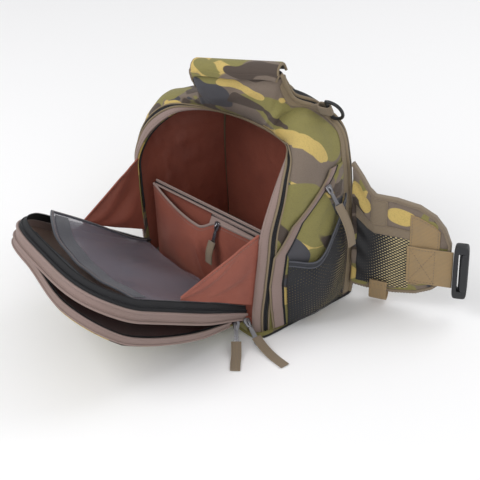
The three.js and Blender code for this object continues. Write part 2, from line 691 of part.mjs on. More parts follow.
// A frame with a slot, used for the strap's adjuster and the wings' buckle halves
function frameShape(width, height, slotWidth, slotHeight, thickness, corner) {
  const shape = new THREE.Shape();
  const [x, y] = [width / 2, height / 2];
  shape.moveTo(-x + corner, -y);
  shape.lineTo(x - corner, -y);
  shape.lineTo(x, -y + corner);
  shape.lineTo(x, y - corner);
  shape.lineTo(x - corner, y);
  shape.lineTo(-x + corner, y);
  shape.lineTo(-x, y - corner);
  shape.lineTo(-x, -y + corner);
  const slot = new THREE.Path();
  slot.moveTo(-slotWidth / 2, -slotHeight / 2);
  slot.lineTo(-slotWidth / 2, slotHeight / 2);
  slot.lineTo(slotWidth / 2, slotHeight / 2);
  slot.lineTo(slotWidth / 2, -slotHeight / 2);
  shape.holes.push(slot);
  const geometry = new THREE.ExtrudeGeometry(shape, { depth: thickness, bevelEnabled: false });
  geometry.translate(0, 0, -thickness / 2);
  return geometry;
}
function turnTo(mesh, at, xAxis, yAxis) {
  const x = xAxis.clone().normalize();
  const y = yAxis.clone().addScaledVector(x, -yAxis.dot(x)).normalize();
  mesh.quaternion.setFromRotationMatrix(new THREE.Matrix4().makeBasis(x, y, x.clone().cross(y)));
  mesh.position.copy(at);
}
const tailSurface = backBand(tail(0, 1), tailWidth);
const adjusterAt = tailSurface(0.5, adjusterShare).addScaledVector(normalOf(tailSurface, 0.5, adjusterShare), webbingLift + 2);
const adjusterWay = tailSurface(0.5, adjusterShare + 0.1).sub(tailSurface(0.5, adjusterShare - 0.1));
const adjusterAcross = tailSurface(0.6, adjusterShare).sub(tailSurface(0.4, adjusterShare));
const adjuster = add('strap_adjuster', 'plastic', frameShape(
  2 * adjusterHalf, tailWidth + 10, 2 * adjusterHalf - 9, tailWidth + 2, 4, 3,
));
turnTo(adjuster, adjusterAt, adjusterWay, adjusterAcross);

// Side pockets: u up the wall from the floor, v from the zip line back to the back edge
const pocketTopRow = 5.2;
const zipLine = [
  { row: 0, share: 0.17 },
  { row: 1, share: 0.15 },
  { row: 2, share: 0.105 },
  { row: 3, share: 0.115 },
  { row: 4, share: 0.265 },
  { row: 5, share: 0.67 },
  { row: 6, share: 0.9 },
];
function zipShare(row) {
  const index = Math.min(Math.floor(row), zipLine.length - 2);
  return mix(zipLine[index].share, zipLine[index + 1].share, row - index);
}
const sideTrimShare = 0.09;
function sidePlace(side, row, v) {
  const share = rowShare(row);
  return [side > 0 ? share : 1 - share, v];
}
const overShell = (side, row, v, lift) => {
  const [a, b] = sidePlace(side, row, v);
  return bodySurface(a, b).addScaledVector(normalOf(bodySurface, a, b), lift);
};
const trimLift = gap + 2.1;
const pocketRows = [0.06, ...part(0.5, 5, 9), pocketTopRow];
const pocketBack = 0.91;
const pocketSwell = (row, q) => sidePocketPuff * Math.sin(Math.PI * q) ** 0.8
  * Math.sin(Math.PI * mix(0.03, 0.98, row / pocketTopRow)) ** 0.8;
const pocketLift = (row, q) => gap + 0.4 + Math.max(pocketSwell(row, q), 0);
const slumpLift = 0.7;
function sidePocketPoint(side, row, q, lift) {
  const front = zipShare(row) + sideTrimShare + 0.012;
  return overShell(side, row, mix(front, Math.max(pocketBack, front + 0.04), q), lift);
}
for (const [name, side] of [['right', 1], ['left', -1]]) {
  const trimFace = (lift) => (u, v) => overShell(side, u, zipShare(u) + v * sideTrimShare, lift);
  add(`side_trim_${name}`, 'taupe', between(trimFace(trimLift + bindingWall), trimFace(trimLift), pocketRows, [0, 1]));
  const under = side > 0 ? 0 : slumpLift;
  const panelFace = (extra) => (u, v) => sidePocketPoint(side, u, v, pocketLift(u, v) + under + extra);
  add(`side_pocket_${name}`, 'camo', between(panelFace(clothWall), panelFace(0), pocketRows, steps(6)));
}

// Mesh pocket over the right side pocket, cut through as a coarse net, with an elastic hem
const netColumns = 19;
const netRows = 17;
const hemLine = (q) => 2.6 - 0.2 * ease(q / 0.3) + 1.4 * ease((q - 0.3) / 0.5);
const netSwell = (p, q) => meshPuff * Math.sin(Math.PI * mix(0.04, 0.97, q)) ** 0.7
  * Math.sin(Math.PI * mix(0.02, 0.9, p)) ** 0.8;
const netPoint = (p, q, extra) => {
  const row = mix(0.06, hemLine(q), p);
  return sidePocketPoint(1, row, mix(0.02, 0.98, q), pocketLift(row, q) + clothWall + 2 * gap + netSwell(p, q) + extra);
};
const netOpen = (i, j) => i % 2 === 1 && j % 2 === 1;
add('mesh_pocket', 'black', between(
  (u, v) => netPoint(v, u, meshWall),
  (u, v) => netPoint(v, u, 0),
  steps(netColumns),
  steps(netRows),
  netOpen,
));
const hemPoint = (u, v, extra) => netPoint(1, u, extra).add(vec(0, 0, gap + v * hemWidth));
add('mesh_hem', 'black', between(
  (u, v) => hemPoint(u, v, meshWall + 0.6),
  (u, v) => hemPoint(u, v, 0),
  steps(netColumns),
  [0, 1],
));

// Wings: x along from the back edge, z up; the outline table holds shares of length and height
const wingOutline = [
  { along: 0, low: 0.015, high: 1.3 },
  { along: 0.1, low: 0.005, high: 1.17 },
  { along: 0.17, low: 0, high: 1.06 },
  { along: 0.24, low: 0, high: 1 },
  { along: 0.45, low: 0, high: 0.995 },
  { along: 0.68, low: 0.03, high: 0.955 },
  { along: 0.84, low: 0.1, high: 0.87 },
  { along: 0.94, low: 0.19, high: 0.75 },
  { along: 1, low: 0.31, high: 0.6 },
];
const wingHeight = wingTop - wingBottom;
const wingBend = 7;
const wingRootX = rowPoints[2].back.x + trimTop + wingPad * 0.2;
function wingLine(share, column) {
  const after = Math.max(1, wingOutline.findIndex((row) => row.along >= share - 1e-9));
  const [low, high] = [wingOutline[after - 1], wingOutline[after]];
  return wingBottom + wingHeight * mix(low[column], high[column], (share - low.along) / (high.along - low.along));
}
const wingWay = vec(Math.cos(wingAngle * degrees), Math.sin(wingAngle * degrees), 0);
const wingOut = vec(wingWay.y, -wingWay.x, 0);
// Point of a wing: a along, b from its lower to its upper edge, lift towards the front
function wingPoint(side, a, b, lift) {
  const low = wingLine(Math.min(a, 1), 'low');
  const high = wingLine(Math.min(a, 1), 'high');
  const point = vec(wingRootX, rowPoints[2].back.y, mix(low, high, b));
  point.addScaledVector(wingWay, a * wingLength).addScaledVector(wingOut, lift - wingBend * a * a);
  return turnNeck(side > 0 ? point : mirrored(point));
}
const wingHalf = (a, b) => (wingPad / 2) * mix(0.55, 1, Math.sqrt(Math.max(0, 1 - (2 * b - 1) ** 4)) * (1 - a ** 8));
const wingColumns = wingOutline.flatMap((row, i) => (i === 0 ? [0] : [(row.along + wingOutline[i - 1].along) / 2, row.along]));
const wingLayer = (side, us, vs, low, high) => between(
  (u, v) => wingPoint(side, u, v, wingHalf(u, v) + high),
  (u, v) => wingPoint(side, u, v, wingHalf(u, v) + low),
  us,
  vs,
);
const bindingHalf = wingPad / 2 + 0.6;
for (const [name, side] of [['right', 1], ['left', -1]]) {
  add(`wing_${name}`, 'camo', between(
    (u, v) => wingPoint(side, u, v, wingHalf(u, v)),
    (u, v) => wingPoint(side, u, v, -wingHalf(u, v)),
    wingColumns,
    steps(6),
  ));
  const edgeRoute = [
    ...wingColumns.map((a) => [a, 1, 0, 1]),
    [1, 0.75, 1, 0],
    [1, 0.5, 1, 0],
    [1, 0.25, 1, 0],
    ...wingColumns.slice().reverse().map((a) => [a, 0, 0, -1]),
  ];
  add(`wing_binding_${name}`, 'webbing', loft(edgeRoute.map(([a, b, way, rise]) => {
    const tip = ease((a - 0.7) / 0.3);
    const out = wingWay.clone().multiplyScalar(Math.max(way, tip * 0.8)).add(vec(0, 0, rise)).normalize();
    if (side < 0) out.x *= -1;
    const root = (lift) => wingPoint(side, a, b, lift).addScaledVector(out, gap);
    const rim = (lift) => wingPoint(side, a, b, lift).addScaledVector(out, gap + 2.4);
    return [root(-bindingHalf), rim(-bindingHalf), rim(bindingHalf), root(bindingHalf)];
  })));
  add(`wing_patch_${name}`, 'webbing', wingLayer(side, part(0.6, 0.9, 4), part(0.1, 0.9, 4), gap, gap + webbingWall));
}
add('wing_mesh', 'black', wingLayer(1, part(0.06, 0.57, 5), part(0.06, 0.6, 4), gap, gap + meshWall));
add('wing_band', 'webbing', wingLayer(1, part(0.06, 0.57, 5), [0.63, 0.72], gap, gap + webbingWall));

// Belt webbing over each wing's patch, with half a buckle at its end
const beltLow = 41;
const beltLift = gap + webbingWall + gap;
const beltEnd = 1 + (2.4 + 8 * gap) / wingLength;
function beltPoint(side, a, v, lift) {
  const [low, high] = ['low', 'high'].map((column) => wingLine(Math.min(a, 1), column));
  return wingPoint(side, a, (beltLow + v * beltWebbing - low) / (high - low), wingPad / 2 + beltLift + lift);
}
const prongs = 3;
function buckleShape(male) {
  const geometry = frameShape(buckleDepth, buckleWidth, 7, beltWebbing + 2, buckleThickness, 4);
  if (!male) return geometry;
  const shape = new THREE.Shape();
  const [x, y] = [buckleDepth / 2, buckleWidth / 2];
  shape.moveTo(-x, -y);
  shape.lineTo(x, -y);
  for (let i = 0; i < prongs; i += 1) {
    const middle = mix(-y, y, (i + 0.5) / prongs);
    shape.lineTo(x, middle - 6);
    shape.lineTo(x + 14, middle - 4);
    shape.lineTo(x + 14, middle + 4);
    shape.lineTo(x, middle + 6);
  }
  shape.lineTo(x, y);
  shape.lineTo(-x, y);
  const slot = new THREE.Path();
  slot.moveTo(-3.5, -beltWebbing / 2 - 1);
  slot.lineTo(-3.5, beltWebbing / 2 + 1);
  slot.lineTo(3.5, beltWebbing / 2 + 1);
  slot.lineTo(3.5, -beltWebbing / 2 - 1);
  shape.holes.push(slot);
  const prongGeometry = new THREE.ExtrudeGeometry(shape, { depth: buckleThickness * 0.7, bevelEnabled: false });
  prongGeometry.translate(0, 0, -buckleThickness * 0.35);
  return prongGeometry;
}
for (const [name, side] of [['right', 1], ['left', -1]]) {
  add(`belt_webbing_${name}`, 'webbing', between(
    (u, v) => beltPoint(side, u, v, webbingWall),
    (u, v) => beltPoint(side, u, v, 0),
    part(0.58, beltEnd, 6),
    [0, 1],
  ));
  const buckle = add(side > 0 ? 'buckle_female' : 'buckle_male', 'plastic', buckleShape(side < 0));
  const end = beltPoint(side, beltEnd, 0.5, webbingWall / 2);
  const rise = beltPoint(side, beltEnd, 1, 0).sub(beltPoint(side, beltEnd, 0, 0));
  const way = end.clone().sub(beltPoint(side, beltEnd - 0.1, 0.5, webbingWall / 2));
  way.addScaledVector(rise, -way.dot(rise) / rise.lengthSq()).normalize();
  turnTo(buckle, end.addScaledVector(way, buckleDepth / 2 + 1.2 * gap), way, rise);
}

// Webbing loop under the right wing
const loopPlace = 0.3;
const loopWidth = 22;
const ringLoopWidth = 15;
const loopOut = wingPad / 2 + 0.6 + gap + webbingWall / 2 + 0.4;
const loopSide = (z, lift) => wingPoint(1, loopPlace, 0, lift).setZ(z);
add('wing_loop', 'webbing', strip([
  loopSide(30, loopOut), loopSide(17, loopOut), loopSide(8, loopOut * 0.8), loopSide(4.6, 0),
  loopSide(8, -loopOut * 0.8), loopSide(17, -loopOut), loopSide(30, -loopOut),
], loopWidth, webbingWall, wingWay, 12));

// D-ring hinged on its straight side in a webbing loop sewn to the right shoulder's seam
const ringRow = 6.95;
const ringSeam = bodySurface(rowShare(ringRow), 0.96);
const seamNormal = normalOf(bodySurface, rowShare(ringRow), 0.96);
const barWay = vec(-0.1, 0.5, -0.86).normalize();
const ringOut = vec(0.85, 0.2, 0.1).addScaledVector(seamNormal, 0.25);
ringOut.addScaledVector(barWay, -ringOut.dot(barWay)).normalize();
const ringFlat = ringOut.clone().cross(barWay);
const loopRadius = ringWire / 2 + gap + 0.2;
const loopReach = 9;
const loopRoot = ringSeam.clone().addScaledVector(seamNormal, trimTop + 6.5).addScaledVector(ringOut, loopRadius + webbingWall + 0.6);
const loopTurns = 12;
add('d_ring_loop', 'webbing', loft(steps(loopTurns).slice(0, -1).map((t) => {
  const turn = 2 * Math.PI * t;
  const far = Math.cos(turn) > 0.01 ? loopReach : 0;
  const centre = loopRoot.clone().addScaledVector(ringOut, far);
  const out = ringOut.clone().multiplyScalar(Math.cos(turn)).addScaledVector(ringFlat, Math.sin(turn));
  return [[0, -1], [0, 1], [webbingWall, 1], [webbingWall, -1]].map(([lift, end]) =>
    centre.clone().addScaledVector(out, loopRadius + lift).addScaledVector(barWay, (end * ringLoopWidth) / 2));
}), true));
const ringBar = loopRoot.clone().addScaledVector(ringOut, loopReach);
const ringSpan = (ringWidth - ringWire) / 2;
const ringPath = [
  ...[-1, -0.34, 0.34, 1].map((x) => [x * ringSpan, 0]),
  ...part(0.12, 0.88, 6).map((t) => [
    ringSpan * Math.cos(Math.PI * t) * 1.06,
    (ringRaise - ringWire) * Math.sin(Math.PI * t) ** 0.7,
  ]),
];
add('d_ring', 'metal', loft(ringPath.map(([x, y], i) => {
  const before = ringPath[(i + ringPath.length - 1) % ringPath.length];
  const after = ringPath[(i + 1) % ringPath.length];
  const run = new THREE.Vector2(after[0] - before[0], after[1] - before[1]).normalize();
  const centre = ringBar.clone().addScaledVector(barWay, x).addScaledVector(ringOut, y);
  const side = barWay.clone().multiplyScalar(run.y).addScaledVector(ringOut, -run.x);
  return steps(6).slice(0, -1).map((t) => centre.clone()
    .addScaledVector(side, (ringWire / 2) * Math.cos(2 * Math.PI * t))
    .addScaledVector(ringFlat, (ringWire / 2) * Math.sin(2 * Math.PI * t)));
}), true));

// Sliders and webbing pulls: the main and pocket zips end at the flap's right corner, their pulls on the floor
const onFloor = (at, x, y, lift) => vec(at.x + x, at.y + y, floorClear + lift);
const mainZip = vec(rowPoints[0].rim.x - 4.8, flapHinge - 6.8, hingeHeight - 3);
pull('main', mainZip, vec(1, -0.1, -0.75), vec(0, 0, 1), [
  onFloor(mainZip, 38, -3, 3),
  onFloor(mainZip, 56, -4, 0.4),
  onFloor(mainZip, 76, -4, 0),
]);
const pocketZip = mainZip.clone().add(vec(-1.6, -12.5, 1.6));
pull('pocket', pocketZip, vec(0.6, -0.5, -0.58), vec(0, 0, 1), [
  onFloor(pocketZip, 30, -25, 2.4),
  onFloor(pocketZip, 37, -32, 0.4),
  onFloor(pocketZip, 47, -41, 0),
]);
const dividerZip = vec(dividerHalf * 0.26, dividerY + 1.8, dividerTop(dividerHalf * 0.26) - 6);
pull('divider', dividerZip, vec(0, -0.3, -1), vec(0, -1, 0.3), [
  dividerZip.clone().add(vec(0.5, -15.8, -38)),
  dividerZip.clone().add(vec(1, -16.8, -52)),
]);
const sideZipRow = 4.8;
const sideZipLift = trimLift + bindingWall + 2 * gap;
const sideZip = overShell(1, sideZipRow, zipShare(sideZipRow) + sideTrimShare * 0.4, sideZipLift);
pull('side', sideZip, vec(0.75, 0.1, -1), vec(1, 0, 0.75), [
  sideZip.clone().add(vec(31, 4, -37)),
  sideZip.clone().add(vec(37, 5, -51)),
  sideZip.clone().add(vec(40, 6, -66)),
]);
export default group;
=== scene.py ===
"""Looks of a sling bag for fishing tackle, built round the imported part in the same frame.

Every new piece is a numpy surface. Shapes are worked out in millimetres, +Z up and -Y to the front,
and reach the meshes in metres.
"""

import logging
import math
from collections.abc import Callable, Sequence
from dataclasses import dataclass, field
from enum import Enum

import bpy
import numpy as np
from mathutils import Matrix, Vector


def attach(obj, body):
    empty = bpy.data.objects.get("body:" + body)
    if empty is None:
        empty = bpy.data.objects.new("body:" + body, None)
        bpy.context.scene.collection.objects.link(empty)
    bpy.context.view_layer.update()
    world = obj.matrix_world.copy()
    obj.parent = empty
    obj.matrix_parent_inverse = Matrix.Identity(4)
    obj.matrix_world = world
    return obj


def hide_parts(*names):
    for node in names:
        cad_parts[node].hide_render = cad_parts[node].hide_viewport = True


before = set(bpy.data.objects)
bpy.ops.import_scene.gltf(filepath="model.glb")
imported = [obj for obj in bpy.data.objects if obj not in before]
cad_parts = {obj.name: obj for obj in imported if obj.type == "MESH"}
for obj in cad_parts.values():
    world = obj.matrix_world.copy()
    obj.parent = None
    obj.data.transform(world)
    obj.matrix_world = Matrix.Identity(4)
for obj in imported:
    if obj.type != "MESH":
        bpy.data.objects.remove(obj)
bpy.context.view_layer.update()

logging.basicConfig(level=logging.INFO, format="%(message)s")
log = logging.getLogger("sling bag")

Array = np.ndarray
Surface = Callable[[Array, Array], Array]
Height = Callable[[Array, Array], Array]
MM = 0.001
GAP = 0.35
SOFT_FRAMES = 16
SHARP = math.radians(48)


# Shapes


def vec(x: float, y: float, z: float) -> Array:
    """A point or direction from its three numbers."""
    return np.array([x, y, z], float)


def mix(a: Array | float, b: Array | float, share: Array | float) -> Array | float:
    """The value at a share of the way from a to b."""
    return a + (b - a) * share


def ease(x: Array | float) -> Array | float:
    """Smooth step from 0 to 1, 3x squared less 2x cubed, held flat outside that range."""
    t = np.clip(x, 0.0, 1.0)
    return t * t * (3.0 - 2.0 * t)


def unit(v: Array) -> Array:
    """Vectors along the last axis made one long."""
    return v / np.maximum(np.linalg.norm(v, axis=-1, keepdims=True), 1e-9)


def arch(x: Array, power: float = 1.0) -> Array:
    """Half a sine wave over 0 to 1, raised to a power, and 0 outside."""
    return np.maximum(np.sin(np.pi * np.clip(x, 0.0, 1.0)), 0.0) ** power


def lipped(count: int, lip: float) -> Array:
    """Even steps from 0 to 1 with closer ones at both ends, for a rounded edge.

    Args:
        count: number of even steps.
        lip: share that the rounding takes at each end.

    Returns:
        The steps, ascending.
    """
    near = np.array([0.0, 0.08, 0.3, 0.6]) * lip
    return np.unique(np.concatenate([near, np.linspace(lip, 1 - lip, count), 1 - near]))


def normals(surface: Surface, u: Array, v: Array) -> Array:
    """Unit normals of a surface, the cross product of small steps along v and along u.

    Args:
        surface: point of u and v.
        u: first parameter, 0 to 1.
        v: second parameter, 0 to 1.

    Returns:
        One normal a grid point.
    """
    step = 0.004
    across = surface(np.minimum(u + step, 1), v) - surface(np.maximum(u - step, 0), v)
    along = surface(u, np.minimum(v + step, 1)) - surface(u, np.maximum(v - step, 0))
    return unit(np.cross(along, across))


def lifted(surface: Surface, u: Array, v: Array, lift: Array | float) -> Array:
    """Points of a surface moved along its normals by a lift."""
    return surface(u, v) + normals(surface, u, v) * np.broadcast_to(lift, u.shape)[..., None]


def run_length(points: Array, axis: int = 0) -> Array:
    """Distance travelled along an axis of points, starting at 0."""
    steps = np.linalg.norm(np.diff(points, axis=axis), axis=-1)
    first = np.zeros_like(np.take(steps, [0], axis=axis))
    return np.cumsum(np.concatenate([first, steps], axis=axis), axis=axis)


def spaced(route: Array, pitch: float, *fields: Array) -> list[Array]:
    """A route sampled again at an even pitch, with fields that go with its points.

    Args:
        route: points in order.
        pitch: distance between samples.
        fields: other arrays with one row a point.

    Returns:
        The sampled route and fields.
    """
    run = run_length(route)
    places = np.linspace(0, run[-1], max(2, int(run[-1] / pitch) + 1))
    return [
        np.stack([np.interp(places, run, part[:, k]) for k in range(part.shape[1])], -1)
        for part in (route, *fields)
    ]


def soft_box(count: int = 28, power: float = 7.0) -> Array:
    """Outline of a box from -1 to 1 with rounded corners, the curve where |x|^p + |y|^p is 1."""
    turn = np.linspace(0, 2 * np.pi, count, endpoint=False) + np.pi / count
    c, s = np.cos(turn), np.sin(turn)
    return np.stack([np.sign(c) * abs(c) ** (2 / power), np.sign(s) * abs(s) ** (2 / power)], -1)


def disc(count: int = 10) -> Array:
    """Outline of a circle one in radius."""
    turn = np.linspace(0, 2 * np.pi, count, endpoint=False)
    return np.stack([np.cos(turn), np.sin(turn)], -1)


class Curve:
    """Smooth curve through points: centripetal Catmull-Rom, the ends carried straight on."""

    def __init__(self, points: Sequence[Array]) -> None:
        """Keeps the points with one more at each end, mirrored through it."""
        p = np.asarray(points, float)
        self.points = np.vstack([2 * p[0] - p[1], p, 2 * p[-1] - p[-2]])
        self.count = len(p)

    def at(self, t: Array) -> Array:
        """Point at a share t of the spans: a cubic between two points with centripetal tangents."""
        place = np.clip(np.asarray(t, float), 0, 1) * (self.count - 1)
        index = np.minimum(place.astype(int), self.count - 2)
        w = (place - index)[..., None]
        a, b, c, d = (self.points[index + k] for k in range(4))
        ab, bc, cd = (
            np.maximum(np.sum((q - p) ** 2, -1, keepdims=True) ** 0.25, 1e-4)
            for p, q in ((a, b), (b, c), (c, d))
        )
        start = ((b - a) / ab - (c - a) / (ab + bc) + (c - b) / bc) * bc
        end = ((c - b) / bc - (d - b) / (bc + cd) + (d - c) / cd) * bc
        square = -3 * b + 3 * c - 2 * start - end
        cube = 2 * b - 2 * c + start + end
        return b + start * w + square * w**2 + cube * w**3

    def tangent(self, t: Array) -> Array:
        """Unit direction of the curve, from two points a little apart."""
        return unit(self.at(np.minimum(t + 1e-4, 1)) - self.at(np.maximum(t - 1e-4, 0)))


@dataclass(frozen=True)
class Waves:
    """Soft unevenness of cloth: a sum of sine waves in random directions of the place in space."""

    seed: int
    longest: float
    shortest: float
    height: float
    count: int = 14

    def at(self, points: Array) -> Array:
        """Height at each point: sines of the place over each wave length, bent by one another."""
        source = np.random.default_rng(self.seed)
        ways = unit(source.normal(size=(self.count, 3)))
        lengths = np.geomspace(self.longest, self.shortest, self.count)
        turn = points @ (ways * 2 * np.pi / lengths[:, None]).T
        turn = turn + source.uniform(0, 2 * np.pi, self.count)
        bent = np.sin(turn + 0.9 * np.sin(turn[..., ::-1] * 0.5))
        return self.height * (bent * lengths / lengths.sum() * 2.5).sum(-1)


@dataclass(frozen=True)
class Crease:
    """One fold of cloth along a line between two places of a flat pattern."""

    start: tuple[float, float]
    end: tuple[float, float]
    width: float
    height: float

    def at(self, x: Array, y: Array) -> Array:
        """Height: a bell across the line, half a sine along it."""
        a, b = np.array(self.start), np.array(self.end)
        way = b - a
        along = ((x - a[0]) * way[0] + (y - a[1]) * way[1]) / (way @ way)
        off = ((x - a[0]) * way[1] - (y - a[1]) * way[0]) / np.linalg.norm(way)
        return self.height * np.exp(-((off / self.width) ** 2)) * arch(along, 0.7)


def creased(marks: Sequence[Crease], x: Array, y: Array) -> Array:
    """Heights of several folds added together."""
    return sum((mark.at(x, y) for mark in marks), np.zeros_like(x))


# Meshes


def mesh_piece(name: str, points: Array, faces: list, coords: Array, corners: list) -> bpy.types.Object:
    """A finished mesh object at the origin, faces outward, smooth with sharp corners kept.

    Args:
        name: the piece's name.
        points: vertices in millimetres.
        faces: vertex numbers of each face.
        coords: flat coordinates in millimetres.
        corners: for each face the numbers of its flat coordinates.

    Returns:
        The object, linked into the scene.
    """
    quads = np.array([f[:3] for f in faces])
    a, b, c = (points[quads[:, k]] for k in range(3))
    wide = np.array([[f[0], f[2], f[-1]] for f in faces if len(f) > 3])
    volume = np.einsum("ij,ij->", a, np.cross(b, c))
    if len(wide):
        p, q, r = (points[wide[:, k]] for k in range(3))
        volume += np.einsum("ij,ij->", p, np.cross(q, r))
    if volume < 0:
        faces = [f[::-1] for f in faces]
        corners = [f[::-1] for f in corners]
    mesh = bpy.data.meshes.new(name)
    mesh.from_pydata((points * MM).tolist(), [], faces)
    order = np.concatenate([np.asarray(f) for f in corners])
    layer = mesh.uv_layers.new(name="UVMap")
    layer.data.foreach_set("uv", (coords[order] * MM).astype(np.float32).ravel())
    mesh.shade_smooth()
    mesh.set_sharp_from_angle(angle=SHARP)
    mesh.update()
    made = bpy.data.objects.new(name, mesh)
    bpy.context.scene.collection.objects.link(made)
    return made


def sheet_piece(name: str, top: Array, low: Array, lip: float = 0.0) -> bpy.types.Object:
    """A closed solid between two grids of points, its thickness rounded off towards the border.

    At a distance d from the border, within the lip, the thickness shrinks to the root of
    1 - (1 - d / lip) squared of itself.

    Args:
        name: the piece's name.
        top: outer points, rows by columns.
        low: inner points on the same grid.
        lip: width of the rounding, 0 for square edges.

    Returns:
        The object.
    """
    middle = (top + low) / 2
    far, side = run_length(middle, 1), run_length(middle, 0)
    if lip > 0:
        edge = np.minimum.reduce([far, far[:, -1:] - far, side, side[-1:] - side])
        share = np.sqrt(1 - (1 - np.clip(edge / lip, 0, 1)) ** 2) * 0.88 + 0.12
        top = middle + (top - middle) * share[..., None]
        low = middle + (low - middle) * share[..., None]
    rows, cols = top.shape[:2]
    layer = rows * cols
    grid = np.arange(layer).reshape(rows, cols)
    flat = np.stack([grid[:-1, :-1], grid[:-1, 1:], grid[1:, 1:], grid[1:, :-1]], -1).reshape(-1, 4)
    loop = np.concatenate([grid[0, :], grid[1:, -1], grid[-1, -2::-1], grid[-2:0:-1, 0]])
    after = np.roll(loop, -1)
    wall = np.stack([after, loop, loop + layer, after + layer], -1)
    faces = np.concatenate([flat, flat[:, ::-1] + layer, wall]).tolist()
    coords = np.stack([far, side - side[-1:] / 2], -1).reshape(-1, 2)
    points = np.concatenate([top.reshape(-1, 3), low.reshape(-1, 3)])
    return mesh_piece(name, points, faces, np.concatenate([coords, coords]), faces)


def tube_piece(name: str, rings: Array, closed: bool = False) -> bpy.types.Object:
    """A closed solid through rings of points, with flat ends unless it runs round to its start.

    Args:
        name: the piece's name.
        rings: points, rings by points of a ring.
        closed: whether the last ring joins the first.

    Returns:
        The object.
    """
    count, size = rings.shape[:2]
    full = np.concatenate([rings, rings[:1]]) if closed else rings
    wrapped = np.concatenate([full, full[:, :1]], 1)
    along = run_length(wrapped.mean(1))[:, None] * np.ones(size + 1)
    around = run_length(wrapped, 1)
    coords = np.stack([along, around - around[:, -1:] / 2], -1).reshape(-1, 2)
    spans = len(full) - 1
    j, i = np.mgrid[0:spans, 0:size]
    nxt, turn = (j + 1) % count, (i + 1) % size
    quads = np.stack([j * size + i, j * size + turn, nxt * size + turn, nxt * size + i], -1)
    wide = size + 1
    marks = np.stack([j * wide + i, j * wide + i + 1, (j + 1) * wide + i + 1, (j + 1) * wide + i], -1)
    faces, corners = quads.reshape(-1, 4).tolist(), marks.reshape(-1, 4).tolist()
    if not closed:
        faces += [list(range(size))[::-1], list(range((count - 1) * size, count * size))]
        last = (count - 1) * wide
        corners += [list(range(size))[::-1], list(range(last, last + size))]
    return mesh_piece(name, rings.reshape(-1, 3), faces, coords, corners)


def carried(route: Array, side: Array, profile: Array, closed: bool = False) -> Array:
    """Rings of a profile carried along a route, its first axis along side, the second at right angles.

    Args:
        route: centre points.
        side: direction of the profile's first axis, one or one a point.
        profile: outline points.
        closed: whether the route runs round.

    Returns:
        Points, rings by points of a ring.
    """
    if closed:
        way = unit(np.roll(route, -1, 0) - np.roll(route, 1, 0))
    else:
        way = unit(np.gradient(route, axis=0))
    side = np.broadcast_to(side, route.shape)
    side = unit(side - way * np.sum(side * way, -1, keepdims=True))
    up = np.cross(way, side)
    return route[:, None] + side[:, None] * profile[None, :, :1] + up[:, None] * profile[None, :, 1:]


def beads(name: str, centres: Array, way: Array, up: Array, size: Array) -> bpy.types.Object:
    """Many small rounded rods in one mesh: each is a six-sided bead stretched to its size.

    Args:
        name: the piece's name.
        centres: middle of each.
        way: direction of each one's length.
        up: direction of each one's height.
        size: length, width and height of every one.

    Returns:
        The object.
    """
    tilt = np.array([0.42, 1.57, 2.72])
    turn = np.arange(6) * np.pi / 3
    ring = np.stack(
        [
            np.cos(tilt)[:, None] * np.ones(6),
            np.sin(tilt)[:, None] * np.cos(turn),
            np.sin(tilt)[:, None] * np.sin(turn),
        ],
        -1,
    ).reshape(-1, 3)
    shape = np.concatenate([ring, [[1, 0, 0], [-1, 0, 0]]]) * size / 2
    j, i = np.mgrid[0:2, 0:6]
    turn_on = (i + 1) % 6
    sides = np.stack([j * 6 + i, (j + 1) * 6 + i, (j + 1) * 6 + turn_on, j * 6 + turn_on], -1)
    sides = sides.reshape(-1, 4)
    n = np.arange(6)
    caps = np.concatenate(
        [
            np.stack([n, (n + 1) % 6, np.full(6, 18)], -1),
            np.stack([12 + (n + 1) % 6, 12 + n, np.full(6, 19)], -1),
        ]
    )
    way = unit(way)
    up = unit(up - way * np.sum(up * way, -1, keepdims=True))
    across = np.cross(up, way)
    points = centres[:, None] + np.einsum("kc,ncd->nkd", shape, np.stack([way, across, up], 1))
    start = (np.arange(len(centres)) * 20)[:, None, None]
    faces = (sides + start).reshape(-1, 4).tolist() + (caps + start).reshape(-1, 3).tolist()
    coords = np.tile(shape[:, :2], (len(centres), 1))
    return mesh_piece(name, points.reshape(-1, 3), faces, coords, faces)


def stitches(name: str, route: Array, up: Array, pitch: float = 3.6) -> bpy.types.Object:
    """A row of thread stitches along a route, a little shorter than their pitch."""
    place, lift = spaced(route, pitch, up)
    way = np.gradient(place, axis=0)
    return beads(name, place, way, lift, np.array([pitch * 0.66, 0.75, 0.7]))


def coil(name: str, route: Array, up: Array, width: float = 3.2) -> bpy.types.Object:
    """The coil of a zip: beads across the route, one every 1.5 mm."""
    place, lift = spaced(route, 1.5, up)
    way = np.gradient(place, axis=0)
    return beads(name, place, np.cross(way, lift), lift, np.array([width, 1.15, 1.5]))


